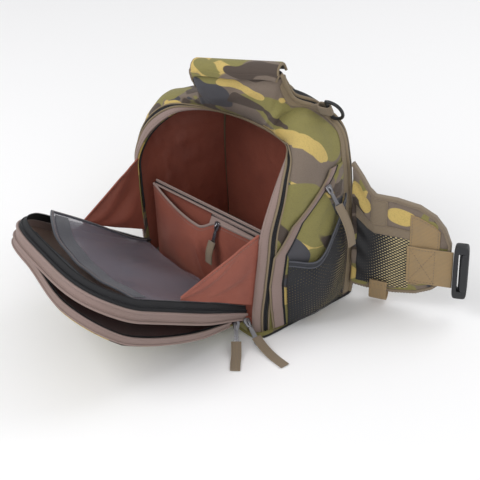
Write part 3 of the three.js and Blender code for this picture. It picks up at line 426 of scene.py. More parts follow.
def plate_piece(name: str, outer: Array, inner: Array, thickness: float, place: Array) -> bpy.types.Object:
    """A flat ring between two outlines, its edges rounded over.

    The section goes from the hole's edge over the top to the rim and back below, its corners
    pulled in by the rounding.

    Args:
        name: the piece's name.
        outer: rim outline in the plate's plane.
        inner: hole outline with as many points, in the same order.
        thickness: full thickness.
        place: 4 by 3 matrix, the plate's two axes, its normal and its middle.

    Returns:
        The object.
    """
    r = min(thickness * 0.3, 1.2)
    reach = np.linalg.norm(outer - inner, axis=-1, keepdims=True)
    inset = np.minimum(r / np.maximum(reach, 1e-6), 0.4)
    half = thickness / 2
    section = [(0, half - r), (0.3, half - 0.3 * r), (1, half)]
    rows = [(inner + (outer - inner) * inset * s, h) for s, h in section]
    rows += [(outer + (inner - outer) * inset * s, h) for s, h in section[::-1]]
    rows += [(p, -h) for p, h in rows[::-1]]
    rings = np.stack(
        [
            np.concatenate([p, np.full((len(p), 1), h)], -1) @ place[:3] + place[3]
            for p, h in rows
        ]
    )
    return tube_piece(name, rings.transpose(1, 0, 2), closed=True)


def settled(piece: bpy.types.Object, pressure: float, cap: float) -> bpy.types.Object:
    """Fills a closed soft piece out under cloth simulation, each point kept within cap of its place.

    Args:
        piece: a closed mesh.
        pressure: air pressure inside.
        cap: furthest that a point may move, in millimetres.

    Returns:
        The same piece.
    """
    scene = bpy.context.scene
    rest = np.empty(len(piece.data.vertices) * 3)
    piece.data.vertices.foreach_get("co", rest)
    rest = rest.reshape(-1, 3)
    soft = piece.modifiers.new("soft", "CLOTH")
    soft.settings.quality = 4
    soft.settings.mass = 0.2
    soft.settings.use_pressure = True
    soft.settings.uniform_pressure_force = pressure
    soft.settings.tension_stiffness = 25
    soft.settings.compression_stiffness = 25
    soft.settings.bending_stiffness = 2.0
    soft.settings.effector_weights.gravity = 0
    soft.collision_settings.use_collision = False
    soft.point_cache.frame_start, soft.point_cache.frame_end = 1, SOFT_FRAMES
    for step in range(1, SOFT_FRAMES + 1):
        scene.frame_set(step)
    shaped = piece.evaluated_get(bpy.context.evaluated_depsgraph_get())
    moved = np.empty(len(shaped.data.vertices) * 3)
    shaped.data.vertices.foreach_get("co", moved)
    shift = moved.reshape(-1, 3) - rest
    size = np.linalg.norm(shift, axis=-1, keepdims=True)
    shift = shift * np.minimum(1, cap * MM / np.maximum(size, 1e-9))
    piece.modifiers.remove(soft)
    scene.frame_set(1)
    piece.data.vertices.foreach_set("co", (rest + shift).ravel())
    piece.data.update()
    return piece


# Finishes


class Tone(Enum):
    """Dye and surface colours, as they look in plain daylight; the darker red is the rose lining as it looks
    in shade, used for painted shade.
    """

    OLIVE = "#857e48"
    YELLOW = "#c8ae66"
    TAUPE = "#786a5e"
    CHARCOAL = "#45454b"
    DARK_BROWN = "#4c4038"
    TRIM = "#8e7973"
    KHAKI = "#85755c"
    ROSE = "#93503f"
    # the rose lining as it looks in shade: painted shade on the front pocket's lining, and a random mottle on
    # the lit lining
    ROSE_IN_SHADE = "#5e2a25"
    TRAY = "#74594a"
    BLACK = "#1d1d20"
    INK = "#15151a"
    ELASTIC = "#33343a"
    SLATE = "#4b4d55"
    TAN = "#a1845a"
    CREAM = "#c2b184"
    FILM = "#86838f"
    STEEL = "#8d8c90"
    PLASTIC = "#1a1b1f"

    @property
    def linear(self) -> tuple[float, float, float, float]:
        """The colour in linear light, opaque: each part over 12.92 or its 2.4 power."""
        parts = [int(self.value[k : k + 2], 16) / 255 for k in (1, 3, 5)]
        light = [c / 12.92 if c <= 0.04045 else ((c + 0.055) / 1.055) ** 2.4 for c in parts]
        return (*light, 1.0)


class Value:
    """A number carried by a node's socket, with the arithmetic that adds Math nodes."""

    def __init__(self, graph: "Graph", socket: bpy.types.NodeSocket) -> None:
        """Keeps the socket and the graph that it belongs to."""
        self.graph = graph
        self.socket = socket

    def __add__(self, other: "Value | float") -> "Value":
        """The sum of two values."""
        return self.graph.math("ADD", self, other)

    __radd__ = __add__

    def __sub__(self, other: "Value | float") -> "Value":
        """The difference of two values."""
        return self.graph.math("SUBTRACT", self, other)

    def __rsub__(self, other: float) -> "Value":
        """A number less this value."""
        return self.graph.math("SUBTRACT", other, self)

    def __mul__(self, other: "Value | float") -> "Value":
        """The product of two values."""
        return self.graph.math("MULTIPLY", self, other)

    __rmul__ = __mul__

    def __truediv__(self, other: "Value | float") -> "Value":
        """The quotient of two values."""
        return self.graph.math("DIVIDE", self, other)


class Graph:
    """One material's nodes: values go in as numbers or links, results come out as Values."""

    def __init__(self, name: str) -> None:
        """Makes the material and finds its shader."""
        self.material = bpy.data.materials.new(name)
        self.material.use_nodes = True
        self.tree = self.material.node_tree
        self.shader = self.tree.nodes["Principled BSDF"]

    def feed(self, socket: bpy.types.NodeSocket, value: object) -> None:
        """Links a Value to a socket, or sets the socket's own number or colour."""
        if isinstance(value, Value):
            self.tree.links.new(value.socket, socket)
        else:
            socket.default_value = value

    def node(self, kind: str, settings: dict | None = None, inputs: dict | None = None) -> bpy.types.Node:
        """Adds a node.

        Args:
            kind: the node's type.
            settings: its own options, set first.
            inputs: numbers, colours or Values of its sockets, by name or place.

        Returns:
            The node.
        """
        made = self.tree.nodes.new(kind)
        for key, value in (settings or {}).items():
            setattr(made, key, value)
        for key, value in (inputs or {}).items():
            self.feed(made.inputs[key], value)
        return made

    def math(self, operation: str, *values: "Value | float") -> Value:
        """A Math node of one to three values."""
        made = self.node("ShaderNodeMath", {"operation": operation}, dict(enumerate(values)))
        return Value(self, made.outputs[0])

    def vector(self, operation: str, *values: "Value | tuple") -> Value:
        """A Vector Math node that gives a vector."""
        made = self.node("ShaderNodeVectorMath", {"operation": operation}, dict(enumerate(values)))
        return Value(self, made.outputs["Vector"])

    def dot(self, a: "Value | tuple", b: "Value | tuple") -> Value:
        """The dot product of two vectors."""
        made = self.node("ShaderNodeVectorMath", {"operation": "DOT_PRODUCT"}, {0: a, 1: b})
        return Value(self, made.outputs["Value"])

    def blend(self, factor: "Value | float", a: object, b: object) -> Value:
        """A colour between a and b."""
        made = self.node("ShaderNodeMix", {"data_type": "RGBA"}, {0: factor, 6: a, 7: b})
        return Value(self, made.outputs[2])

    def place(self) -> Value:
        """Object coordinates, in metres."""
        return Value(self, self.node("ShaderNodeTexCoord").outputs["Object"])

    def flat(self) -> tuple[Value, Value]:
        """The piece's own flat coordinates, along and across, in metres."""
        made = self.node("ShaderNodeTexCoord")
        split = self.node("ShaderNodeSeparateXYZ", inputs={0: Value(self, made.outputs["UV"])})
        return Value(self, split.outputs[0]), Value(self, split.outputs[1])

    def noise(self, at: Value, scale: float, detail: float = 2.0) -> Value:
        """Smooth noise from 0 to 1."""
        made = self.node(
            "ShaderNodeTexNoise", inputs={"Vector": at, "Scale": scale, "Detail": detail}
        )
        return Value(self, made.outputs[0])

    def warp(self, at: Value, scale: float, reach: float, detail: float = 1.5) -> Value:
        """Places shifted by coloured noise, up to half the reach each way."""
        made = self.node("ShaderNodeTexNoise", inputs={"Vector": at, "Scale": scale, "Detail": detail})
        shift = self.vector("SUBTRACT", Value(self, made.outputs[1]), (0.5, 0.5, 0.5))
        return self.vector("ADD", at, self.vector("MULTIPLY", shift, (reach, reach, reach)))

    def over(self, value: Value, edge: float, soft: float) -> Value:
        """0 to 1 as a value passes an edge, over a soft width."""
        made = self.node(
            "ShaderNodeMapRange",
            {"interpolation_type": "SMOOTHSTEP"},
            {0: value, 1: edge - soft / 2, 2: edge + soft / 2, 3: 0.0, 4: 1.0},
        )
        return Value(self, made.outputs[0])

    def bump(self, height: Value, distance: float, strength: float = 1.0) -> None:
        """Feeds a height, in shares of a distance in metres, to the shader's normal."""
        made = self.node(
            "ShaderNodeBump", inputs={"Height": height, "Distance": distance, "Strength": strength}
        )
        self.feed(self.shader.inputs["Normal"], Value(self, made.outputs[0]))

    def set(self, **sockets: object) -> None:
        """Sets or links the shader's sockets, named with underscores for spaces."""
        for key, value in sockets.items():
            self.feed(self.shader.inputs[key.replace("_", " ")], value)


def weave(graph: Graph, pitch: float) -> Value:
    """Plain weave: the product of a sine along and a sine across, one thread a pitch, in metres."""
    along, across = graph.flat()
    turn = 2 * math.pi / pitch
    return graph.math("SINE", along * turn) * graph.math("SINE", across * turn)


@dataclass(frozen=True)
class Cloth:
    """Plain dyed cloth: weave, faint mottling and a soft sheen."""

    name: str
    tone: Tone
    shade: Tone
    roughness: float = 0.8
    pitch: float = 0.0011
    depth: float = 0.00012
    sheen: float = 0.15
    crumple: float = 0.0006

    def material(self) -> bpy.types.Material:
        """The cloth's material: colour between tone and shade by noise, weave and crumple as bump."""
        graph = Graph(self.name)
        place = graph.place()
        worn = graph.noise(place, 26.0, 4.0)
        fleck = graph.noise(place, 900.0, 1.0)
        colour = graph.blend(graph.over(worn, 0.62, 0.45) * 0.35, self.tone.linear, self.shade.linear)
        colour = graph.blend(graph.over(fleck, 0.62, 0.3) * 0.3, colour, self.shade.linear)
        graph.set(Base_Color=colour, Roughness=self.roughness)
        graph.set(Sheen_Weight=self.sheen)
        graph.set(Sheen_Roughness=0.4)
        height = weave(graph, self.pitch) * self.depth + graph.noise(place, 75.0, 3.0) * self.crumple
        graph.bump(height / self.depth, self.depth, 0.7)
        return graph.material


@dataclass(frozen=True)
class Patch:
    """One printed patch of the camouflage: an ellipsoid about a place on the bag."""

    centre: tuple[float, float, float]
    way: tuple[float, float, float]
    length: float
    width: float
    tone: Tone


@dataclass(frozen=True)
class Camouflage:
    """Cloth printed with wavy patches: noise where nothing is placed, and placed patches on top."""

    name: str
    patches: tuple[Patch, ...] = ()
    roughness: float = 0.8

    def printed(self, graph: Graph, place: Value) -> Value:
        """The print's colour: taupe, then olive and the other tones where stretched noise is high."""
        bent = graph.warp(place, 16.0, 0.03)
        long_way = graph.vector("MULTIPLY", bent, (1.0, 0.8, 1.9))
        colour = graph.blend(
            graph.over(graph.noise(long_way, 13.0), 0.47, 0.015), Tone.TAUPE.linear, Tone.OLIVE.linear
        )
        layers = (
            ((3.1, 1.7, 5.2), 15.0, 0.585, Tone.DARK_BROWN),
            ((8.3, 4.4, 1.9), 15.0, 0.6, Tone.YELLOW),
            ((1.3, 9.1, 7.7), 17.0, 0.64, Tone.CHARCOAL),
        )
        for shift, scale, edge, tone in layers:
            spots = graph.noise(graph.vector("ADD", long_way, shift), scale)
            colour = graph.blend(graph.over(spots, edge, 0.012), colour, tone.linear)
        return colour

    def patched(self, graph: Graph, place: Value, colour: Value) -> Value:
        """Placed patches: inside where (across / width) squared + (along / length) squared is under 1."""
        bent = graph.warp(place, 22.0, 0.026, 0.6)
        for patch in self.patches:
            centre = tuple(c * MM for c in patch.centre)
            off = graph.vector("SUBTRACT", bent, centre)
            along = graph.dot(off, tuple(unit(np.array(patch.way)).tolist()))
            length, width = patch.length * MM, patch.width * MM
            near = graph.dot(off, off) / width**2
            squash = 1 / length**2 - 1 / width**2
            reach = near + along * along * squash
            colour = graph.blend(graph.over(1.0 - reach, 0.0, 0.1), colour, patch.tone.linear)
        return colour

    def material(self) -> bpy.types.Material:
        """The print on a canvas weave."""
        graph = Graph(self.name)
        place = graph.place()
        colour = self.patched(graph, place, self.printed(graph, place))
        fleck = graph.noise(place, 800.0, 1.0)
        colour = graph.blend(graph.over(fleck, 0.6, 0.3) * 0.22, colour, Tone.DARK_BROWN.linear)
        graph.set(Base_Color=colour, Roughness=self.roughness)
        graph.set(Sheen_Weight=0.1)
        height = weave(graph, 0.0013) * 0.00014 + graph.noise(place, 60.0, 3.0) * 0.0007
        graph.bump(height / 0.00014, 0.00014, 0.7)
        return graph.material


@dataclass(frozen=True)
class Webbing:
    """Woven strap: ribs across its length, with painted shade in the valleys that leaves the raised threads
    lighter.
    """

    name: str
    tone: Tone
    shade: Tone
    rib: float = 0.0018

    def material(self) -> bpy.types.Material:
        """Ribs as sines across and a finer thread along, with painted shade in the valleys."""
        graph = Graph(self.name)
        along, across = graph.flat()
        ribs = graph.math("SINE", across * (2 * math.pi / self.rib))
        threads = graph.math("SINE", along * (2 * math.pi / 0.0014))
        height = ribs * 0.6 + threads * ribs * 0.4
        worn = graph.noise(graph.place(), 60.0, 4.0)
        # painted shade: the colour runs from the shade tone in the valleys to the plain tone on the ridges
        colour = graph.blend(graph.over(height, -0.2, 1.2), self.shade.linear, self.tone.linear)
        colour = graph.blend(graph.over(worn, 0.58, 0.4) * 0.35, colour, self.shade.linear)
        graph.set(Base_Color=colour, Roughness=0.82)
        graph.set(Sheen_Weight=0.2)
        graph.bump(height, 0.00025, 0.8)
        return graph.material


@dataclass(frozen=True)
class Net:
    """Knitted net: threads round rows of holes, open or over a second colour."""

    name: str
    tone: Tone
    behind: Tone | None
    pitch: float
    opened: float
    fade: float = 0.0
    bare_from: float = 0.03
    slant: float = 0.0

    def material(self) -> bpy.types.Material:
        """Holes where two slanted cosines are high; the fade closes them before a line across the net."""
        graph = Graph(self.name)
        along, across = graph.flat()
        turn = 2 * math.pi / self.pitch
        slant, other = along + across * 1.6, along - across * 1.6
        knit = graph.math("COSINE", slant * turn) * 0.5 + graph.math("COSINE", other * turn) * 0.5
        bared = graph.over(along - across * self.slant, self.bare_from, 0.04)
        edge = graph.math("MULTIPLY_ADD", bared, -self.fade, self.opened + self.fade)
        hole = graph.over(knit - edge, 0.0, 0.25)
        graph.set(Roughness=0.65)
        if self.behind is None:
            graph.set(Base_Color=self.tone.linear, Alpha=1.0 - hole)
        else:
            graph.set(Base_Color=graph.blend(hole, self.tone.linear, self.behind.linear))
            graph.bump(1.0 - hole, 0.0008, 0.9)
        return graph.material


@dataclass(frozen=True)
class Spacer:
    """Padded back cloth: black knit with rows of small dimples."""

    name: str
    tone: Tone
    shade: Tone

    def material(self) -> bpy.types.Material:
        """Dimples where the product of two cosines is high, with painted shade inside them."""
        graph = Graph(self.name)
        along, across = graph.flat()
        turn = 2 * math.pi / 0.0034
        knit = graph.math("COSINE", along * turn) * graph.math("COSINE", across * turn)
        dimple = graph.over(knit, 0.35, 0.5)
        # painted shade: the darker colour fills the dimples' hollows
        graph.set(Base_Color=graph.blend(dimple, self.tone.linear, self.shade.linear), Roughness=0.85)
        graph.set(Sheen_Weight=0.06)
        graph.bump(1.0 - dimple, 0.0006, 0.9)
        return graph.material


@dataclass(frozen=True)
class Hard:
    """Moulded or cast surface: fine grain and small wear."""

    name: str
    tone: Tone
    roughness: float
    metal: float = 0.0
    grain: float = 900.0
    alpha: float = 1.0

    def material(self) -> bpy.types.Material:
        """Roughness varied by noise, fine grain as bump."""
        graph = Graph(self.name)
        place = graph.place()
        grain = graph.noise(place, self.grain, 2.0)
        smear = graph.noise(place, 45.0, 4.0)
        graph.set(
            Base_Color=self.tone.linear,
            Roughness=smear * 0.18 + (self.roughness - 0.09),
            Metallic=self.metal,
            Alpha=self.alpha,
        )
        graph.bump(grain, 0.00005, 0.5)
        return graph.material


class Finishes:
    """All finishes of the bag, each made once and kept by name."""

    def __init__(self, print_patches: tuple[Patch, ...]) -> None:
        """Makes the finishes.

        Args:
            print_patches: placed patches of the camouflage.
        """
        made = [
            Camouflage("camouflage", print_patches),
            Cloth("trim_band", Tone.TRIM, Tone.TAUPE, 0.72, 0.0012),
            Cloth("lining_rose", Tone.ROSE, Tone.ROSE_IN_SHADE, 0.6, 0.0009, 0.00009, 0.08, 0.0009),
            # the front pocket's lining is the same rose cloth, coloured as it looks in shade: painted shade
            Cloth("lining_rose_painted_shade", Tone.ROSE_IN_SHADE, Tone.INK, 0.7),
            Cloth("tray_cloth", Tone.TRAY, Tone.DARK_BROWN, 0.75, 0.001),
            Cloth("zip_tape", Tone.BLACK, Tone.INK, 0.8, 0.0008, sheen=0.03),
            Cloth("elastic", Tone.ELASTIC, Tone.BLACK, 0.8, 0.0014, 0.0002, 0.05),
            Cloth("film_edge", Tone.SLATE, Tone.CHARCOAL, 0.6, 0.0009),
            Cloth("bound_edge", Tone.KHAKI, Tone.TAUPE, 0.8, 0.0011, 0.00015),
            Cloth("thread_khaki", Tone.TAUPE, Tone.KHAKI, 0.7),
            Cloth("thread_rose", Tone.TRIM, Tone.ROSE, 0.7),
            Webbing("strap_tan", Tone.TAN, Tone.KHAKI),
            Webbing("strap_khaki", Tone.KHAKI, Tone.TAUPE),
            Net("net_black", Tone.BLACK, None, 0.0066, -0.1, 0.85, 0.05, 0.9),
            Net("net_over_cream", Tone.BLACK, Tone.CREAM, 0.0062, 0.08, 0.97, 0.032, 0.25),
            Spacer("spacer_black", Tone.BLACK, Tone.INK),
            Hard("moulded_black", Tone.PLASTIC, 0.42),
            Hard("zip_coil", Tone.INK, 0.4),
            Hard("zip_metal", Tone.STEEL, 0.28, 1.0),
            Hard("clear_film", Tone.FILM, 0.2, 0.0, 60.0, 0.5),
        ]
        self.ready = {finish.name: finish.material() for finish in made}

    def __getitem__(self, name: str) -> bpy.types.Material:
        """The finish's material by its name."""
        return self.ready[name]


class Slot(Enum):
    """The record's own material slots."""

    CAMO = "camo_cloth"
    TAUPE = "taupe_cloth"
    ROSE = "rose_lining"
    BROWN = "brown_lining"
    BLACK = "black_cloth"
    WEBBING = "webbing"
    PLASTIC = "black_plastic"
    STEEL = "steel"
    FILM = "clear_film"


class Bench:
    """Where finished pieces are dressed, tied to their body and reported."""

    def __init__(self, finishes: Finishes) -> None:
        """Starts with the finishes and no piece."""
        self.finishes = finishes
        self.count = 0

    def dress(
        self,
        piece: bpy.types.Object,
        finish: str,
        slot: Slot,
        nodes: Sequence[str] = (),
        body: str = "bag",
    ) -> bpy.types.Object:
        """Gives a piece its material and body, hides the CAD nodes that it stands for, and reports it.

        Args:
            piece: the finished mesh.
            finish: name of its finish.
            slot: the record's slot; not used.
            nodes: CAD nodes that it stands for.
            body: CAD body that it rides on.

        Returns:
            The same piece.
        """
        piece.data.materials.clear()
        piece.data.materials.append(self.finishes[finish])
        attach(piece, body)
        if nodes:
            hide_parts(*nodes)
        self.count += 1
        log.info("%s: %d faces, %s", piece.name, len(piece.data.polygons), finish)
        return piece

    def cord(
        self, name: str, route: Array, side: Array, size: tuple[int, float], finish: str, slot: Slot
    ) -> None:
        """Adds a round cord along a route; size is its number of sides and its radius."""
        self.dress(tube_piece(name, carried(route, side, disc(size[0]) * size[1])), finish, slot)

    def sew(self, name: str, route: Array, up: Array, finish: str = "thread_khaki") -> None:
        """Adds a row of stitches along a route."""
        self.dress(stitches(name, route, up), finish, Slot.WEBBING)

    def zip(self, name: str, route: Array, up: Array, width: float = 3.2) -> None:
        """Adds a zip's coil along a route."""
        self.dress(coil(name, route, up, width), "zip_coil", Slot.BLACK)

    def cloth(self, piece: bpy.types.Object, points: Array, held: str, rests_on: Sequence[str]) -> None:
        """Works out the steps between the points of a sheet's grid, and does nothing more with them.

        Args:
            piece: the finished sheet; not used.
            points: the grid of its middle, rows by columns, in millimetres.
            held: how it is held; not used.
            rests_on: what it lies on or hangs from; not used.
        """
        a = points[1:, :-1] - points[:-1, :-1]
        b = points[:-1, 1:] - points[:-1, :-1]
        c = points[1:, 1:] - points[:-1, 1:]
        d = points[1:, 1:] - points[1:, :-1]


# The bag's shapes


@dataclass(frozen=True)
class BodyForm:
    """The body's cloth surface: u from the right foot over the top to the left foot, v to the back.

    Each row of the table holds shares for the rim's x, y and z, the back edge's x in the body and in
    the neck, its y, and its z in the body and in the neck, then how far and how soon the cloth puffs.
    """

    width: float = 240.0
    depth: float = 146.0
    rim_width: float = 238.0
    rim_height: float = 196.0
    neck_width: float = 124.0
    neck_height: float = 277.0
    side_puff: float = 13.0
    yoke_puff: float = 16.0
    slump: float = 33.0
    lean: float = 8.0
    neck_lean: float = 1.9
    twist: float = 19.5
    roll: float = 10.0
    crown: float = 8.0
    pad: float = 9.0
    seat: float = 3.35
    cloth_wall: float = 2.2
    trim_share: float = 0.055
    trim_top: float = GAP + 1.6
    neck_row: float = 10.0
    rows: tuple[tuple[float, ...], ...] = (
        (0.908, -1.055, 0.0, 1.008, 0.0, 0.96, 0.0, 0.0, 0.7, 0.6),
        (0.908, -1.068, 0.123, 1.02, 0.0, 0.96, 0.19, 0.0, 0.85, 0.6),
        (0.95, -1.055, 0.346, 1.02, 0.0, 0.95, 0.398, 0.0, 1.0, 0.6),
        (0.988, -1.02, 0.554, 1.008, 0.0, 0.945, 0.606, 0.0, 1.0, 0.6),
        (1.0, -0.972, 0.709, 0.985, 0.0, 0.94, 0.761, 0.0, 1.0, 0.6),
        (0.958, -0.715, 0.875, 0.95, 0.0, 0.945, 0.925, 0.0, 1.1, 0.6),
        (0.83, -0.29, 0.995, 0.875, 0.0, 0.91, 1.0, 0.18, 1.1, 0.75),
        (0.66, 0.12, 1.01, 0.35, 0.65, 0.645, 1.0, 0.41, 1.1, 0.95),
        (0.462, 0.397, 0.997, 0.0, 1.07, 0.26, 1.0, 0.573, 1.1, 1.1),
        (0.252, 0.479, 0.996, 0.0, 1.01, 0.06, 1.0, 0.8, 1.0, 1.1),
        (0.151, 0.49, 0.995, 0.0, 0.95, -0.03, 1.0, 1.0, 1.0, 1.1),
        (0.0, 0.493, 0.995, 0.0, 0.0, -0.03, 1.0, 1.0, 1.0, 1.1),
    )
    rim_points: Array = field(init=False, repr=False, compare=False)
    back_points: Array = field(init=False, repr=False, compare=False)
    puff: Array = field(init=False, repr=False, compare=False)
    rise: Array = field(init=False, repr=False, compare=False)
    rim: Curve = field(init=False, repr=False, compare=False)
    back: Curve = field(init=False, repr=False, compare=False)

    def __post_init__(self) -> None:
        """Works out the rim and back points of every row and the curves through both sides."""
        t = np.array(self.rows)
        body_z = mix(self.seat, self.rim_height, t[:, 6])
        rim = np.stack(
            [
                t[:, 0] * self.rim_width / 2,
                t[:, 1] * self.depth / 2,
                mix(self.seat, self.rim_height, t[:, 2]),
            ],
            -1,
        )
        back = np.stack(
            [
                (t[:, 3] * self.width + t[:, 4] * self.neck_width) / 2,
                t[:, 5] * self.depth / 2,
                body_z + t[:, 7] * (self.neck_height - self.rim_height),
            ],
            -1,
        )
        puff = t[:, 8] * np.where(t[:, 4] > 0, self.yoke_puff, self.side_puff)
        flip = np.array([-1, 1, 1])
        both = [Curve(np.vstack([p, (p[:-1] * flip)[::-1]])) for p in (rim, back)]
        values = {"rim_points": rim, "back_points": back, "puff": puff, "rise": t[:, 9]}
        for key, value in {**values, "rim": both[0], "back": both[1]}.items():
            object.__setattr__(self, key, value)

    @property
    def top_row(self) -> int:
        """Number of the row at the top's middle."""
        return len(self.rows) - 1

    def share(self, row: Array | float) -> Array | float:
        """u of a row on the right side."""
        return row / (2 * self.top_row)

    def column(self, values: Array, u: Array) -> Array:
        """A row value at u, eased between rows and the same on both sides."""
        place = np.minimum(np.minimum(u, 1 - u) * 2, 1) * self.top_row
        index = np.clip(place.astype(int), 0, self.top_row - 1)
        return mix(values[index], values[index + 1], ease(place - index))

    def turned(self, point: Array) -> Array:
        """Leans the body to the left as it rises, then turns and tips the neck."""
        start = self.rim_height - 6
        share = ease((point[..., 2] - start) / (self.neck_height - start) / 0.85)
        angle = np.radians(self.twist) * share
        lean = self.lean * ease(point[..., 2] / self.rim_height) * mix(1, self.neck_lean, share)
        x, y = point[..., 0], point[..., 1]
        return np.stack(
            [
                x * np.cos(angle) - y * np.sin(angle) - lean,
                x * np.sin(angle) + y * np.cos(angle),
                point[..., 2] + x * math.tan(math.radians(self.roll)) * share,
            ],
            -1,
        )

    def surface(self, u: Array, v: Array) -> Array:
        """Point of the cloth: from rim to back edge, puffed by a sine, and slumped on the left."""
        u, v = np.broadcast_arrays(np.asarray(u, float), np.asarray(v, float))
        rim = self.rim.at(u)
        reach = self.back.at(u) - rim
        outward = unit(np.cross(reach, self.rim.tangent(u)))
        swell = self.column(self.puff, u) * np.sin(np.pi * v ** self.column(self.rise, u))
        place = (u - self.share(2 * self.top_row - 5.4)) / self.share(2.4)
        slump = self.slump * np.exp(-(place**2)) * np.sin(np.pi * v)
        point = rim + reach * v[..., None] + outward * swell[..., None]
        return self.turned(point + vec(-0.85, -0.5, -0.1) * slump[..., None])

    def over(self, side: int, row: Array, v: Array, lift: Array | float) -> Array:
        """A point lifted off the cloth, by row on the right side or the left one."""
        share = self.share(np.asarray(row, float))
        share, v = np.broadcast_arrays(share if side > 0 else 1 - share, np.asarray(v, float))
        return lifted(self.surface, share, v, lift)

    def back_face(self, u: Array, v: Array) -> Array:
        """The back's surface from its left edge to its right one, v from the foot up, crowned."""
        share = self.share(self.neck_row) * v
        left, right = self.surface(1 - share, np.ones_like(v)), self.surface(share, np.ones_like(v))
        point = mix(left, right, u[..., None])
        a = 2 * u - 1
        point[..., 1] += self.crown * (1 - a * a) * ease((1 - v) * 4)
        return point

    @property
    def back_gap(self) -> float:
        """Clearance from the back surface to the pad."""
        return self.cloth_wall + 4 * GAP


@dataclass(frozen=True)
class FlapForm:
    """The flap's own frame: x across, v along from the hinge, w up from its zip line."""

    length: float = 240.0
    width: float = 212.0
    corner_cut: float = 55.0
    depth: float = 12.0
    angle: float = 27.6
    curl: float = 20.0
    tape_rise: float = 10.0
    hinge_y: float = -78.5
    hinge_z: float = 27.0
    start: float = 3.0
    wall_out: float = 0.6
    pocket_depth: float = 9.0
    pocket_mouth: float = 20.0

    @property
    def half(self) -> float:
        """Half the flap's width."""
        return self.width / 2

    def point(self, x: Array, v: Array, w: Array) -> Array:
        """A point of the flap in the bag's frame; its left front corner curls up."""
        x, v, w = np.broadcast_arrays(*(np.asarray(k, float) for k in (x, v, w)))
        up = w + self.curl * ((self.half - x) / self.width) * (v / self.length) ** 2
        c, s = math.cos(math.radians(self.angle)), math.sin(math.radians(self.angle))
        return np.stack([x, self.hinge_y - v * c + up * s, self.hinge_z + v * s + up * c], -1)

    def front(self, a: Array) -> Array:
        """Length of the flap at a share a across, cut back at the corners."""
        return self.length - self.corner_cut * np.abs(a) ** 4

    def side(self, v: Array) -> Array:
        """Half width along the flap, a little narrower at the hinge."""
        return self.half * mix(0.935, 1, ease(v / (self.length * 0.4)))

    def taper(self, v: Array) -> Array:
        """Share of the full depth along the flap, less at the hinge."""
        return mix(0.6, 1, ease(v / (self.length * 0.3)))

    def floor(self, v: Array) -> Array:
        """Height of the tray's floor below the zip line."""
        return -self.depth * self.taper(v)

    def edge(self, first: float, count: int = 70) -> tuple[Array, Array, Array, Array]:
        """The flap's edge as a route up the right side, round the front and down the left.

        Args:
            first: how far from the hinge it starts.
            count: points of each side.

        Returns:
            x, v and the outward direction's x and v.
        """
        corner = float(self.front(1.0))
        up = np.linspace(first, corner, count)
        a = np.linspace(1, -1, count * 2)[1:-1]
        x = np.concatenate([self.side(up), a * self.half, -self.side(up[::-1])])
        v = np.concatenate([up, self.front(a), up[::-1]])
        (route,) = spaced(np.stack([x, v], -1), 2.5)
        softened = np.stack([np.convolve(k, np.ones(11) / 11, "valid") for k in route.T], -1)
        route = np.concatenate([route[:5], softened, route[-5:]])
        run = unit(np.gradient(route, axis=0))
        return route[:, 0], route[:, 1], run[:, 1], -run[:, 0]

    def mouth(self, x: Array, v: Array) -> Array:
        """How far the front pocket gapes under the flap: most at its right front corner."""
        side = ease((x / self.half + 0.25) / 0.8)
        return self.pocket_mouth * side * arch(v / (self.length * 1.3), 1.5)

    def pocket_top(self, x: Array, v: Array) -> Array:
        """Height of the front pocket's upper edge."""
        return self.floor(v) - GAP - self.mouth(x, v)

    def pocket_low(self, x: Array, v: Array) -> Array:
        """Height of the front pocket's lower edge."""
        return self.pocket_top(x, v) - self.pocket_depth * self.taper(v)


# Sub-assemblies


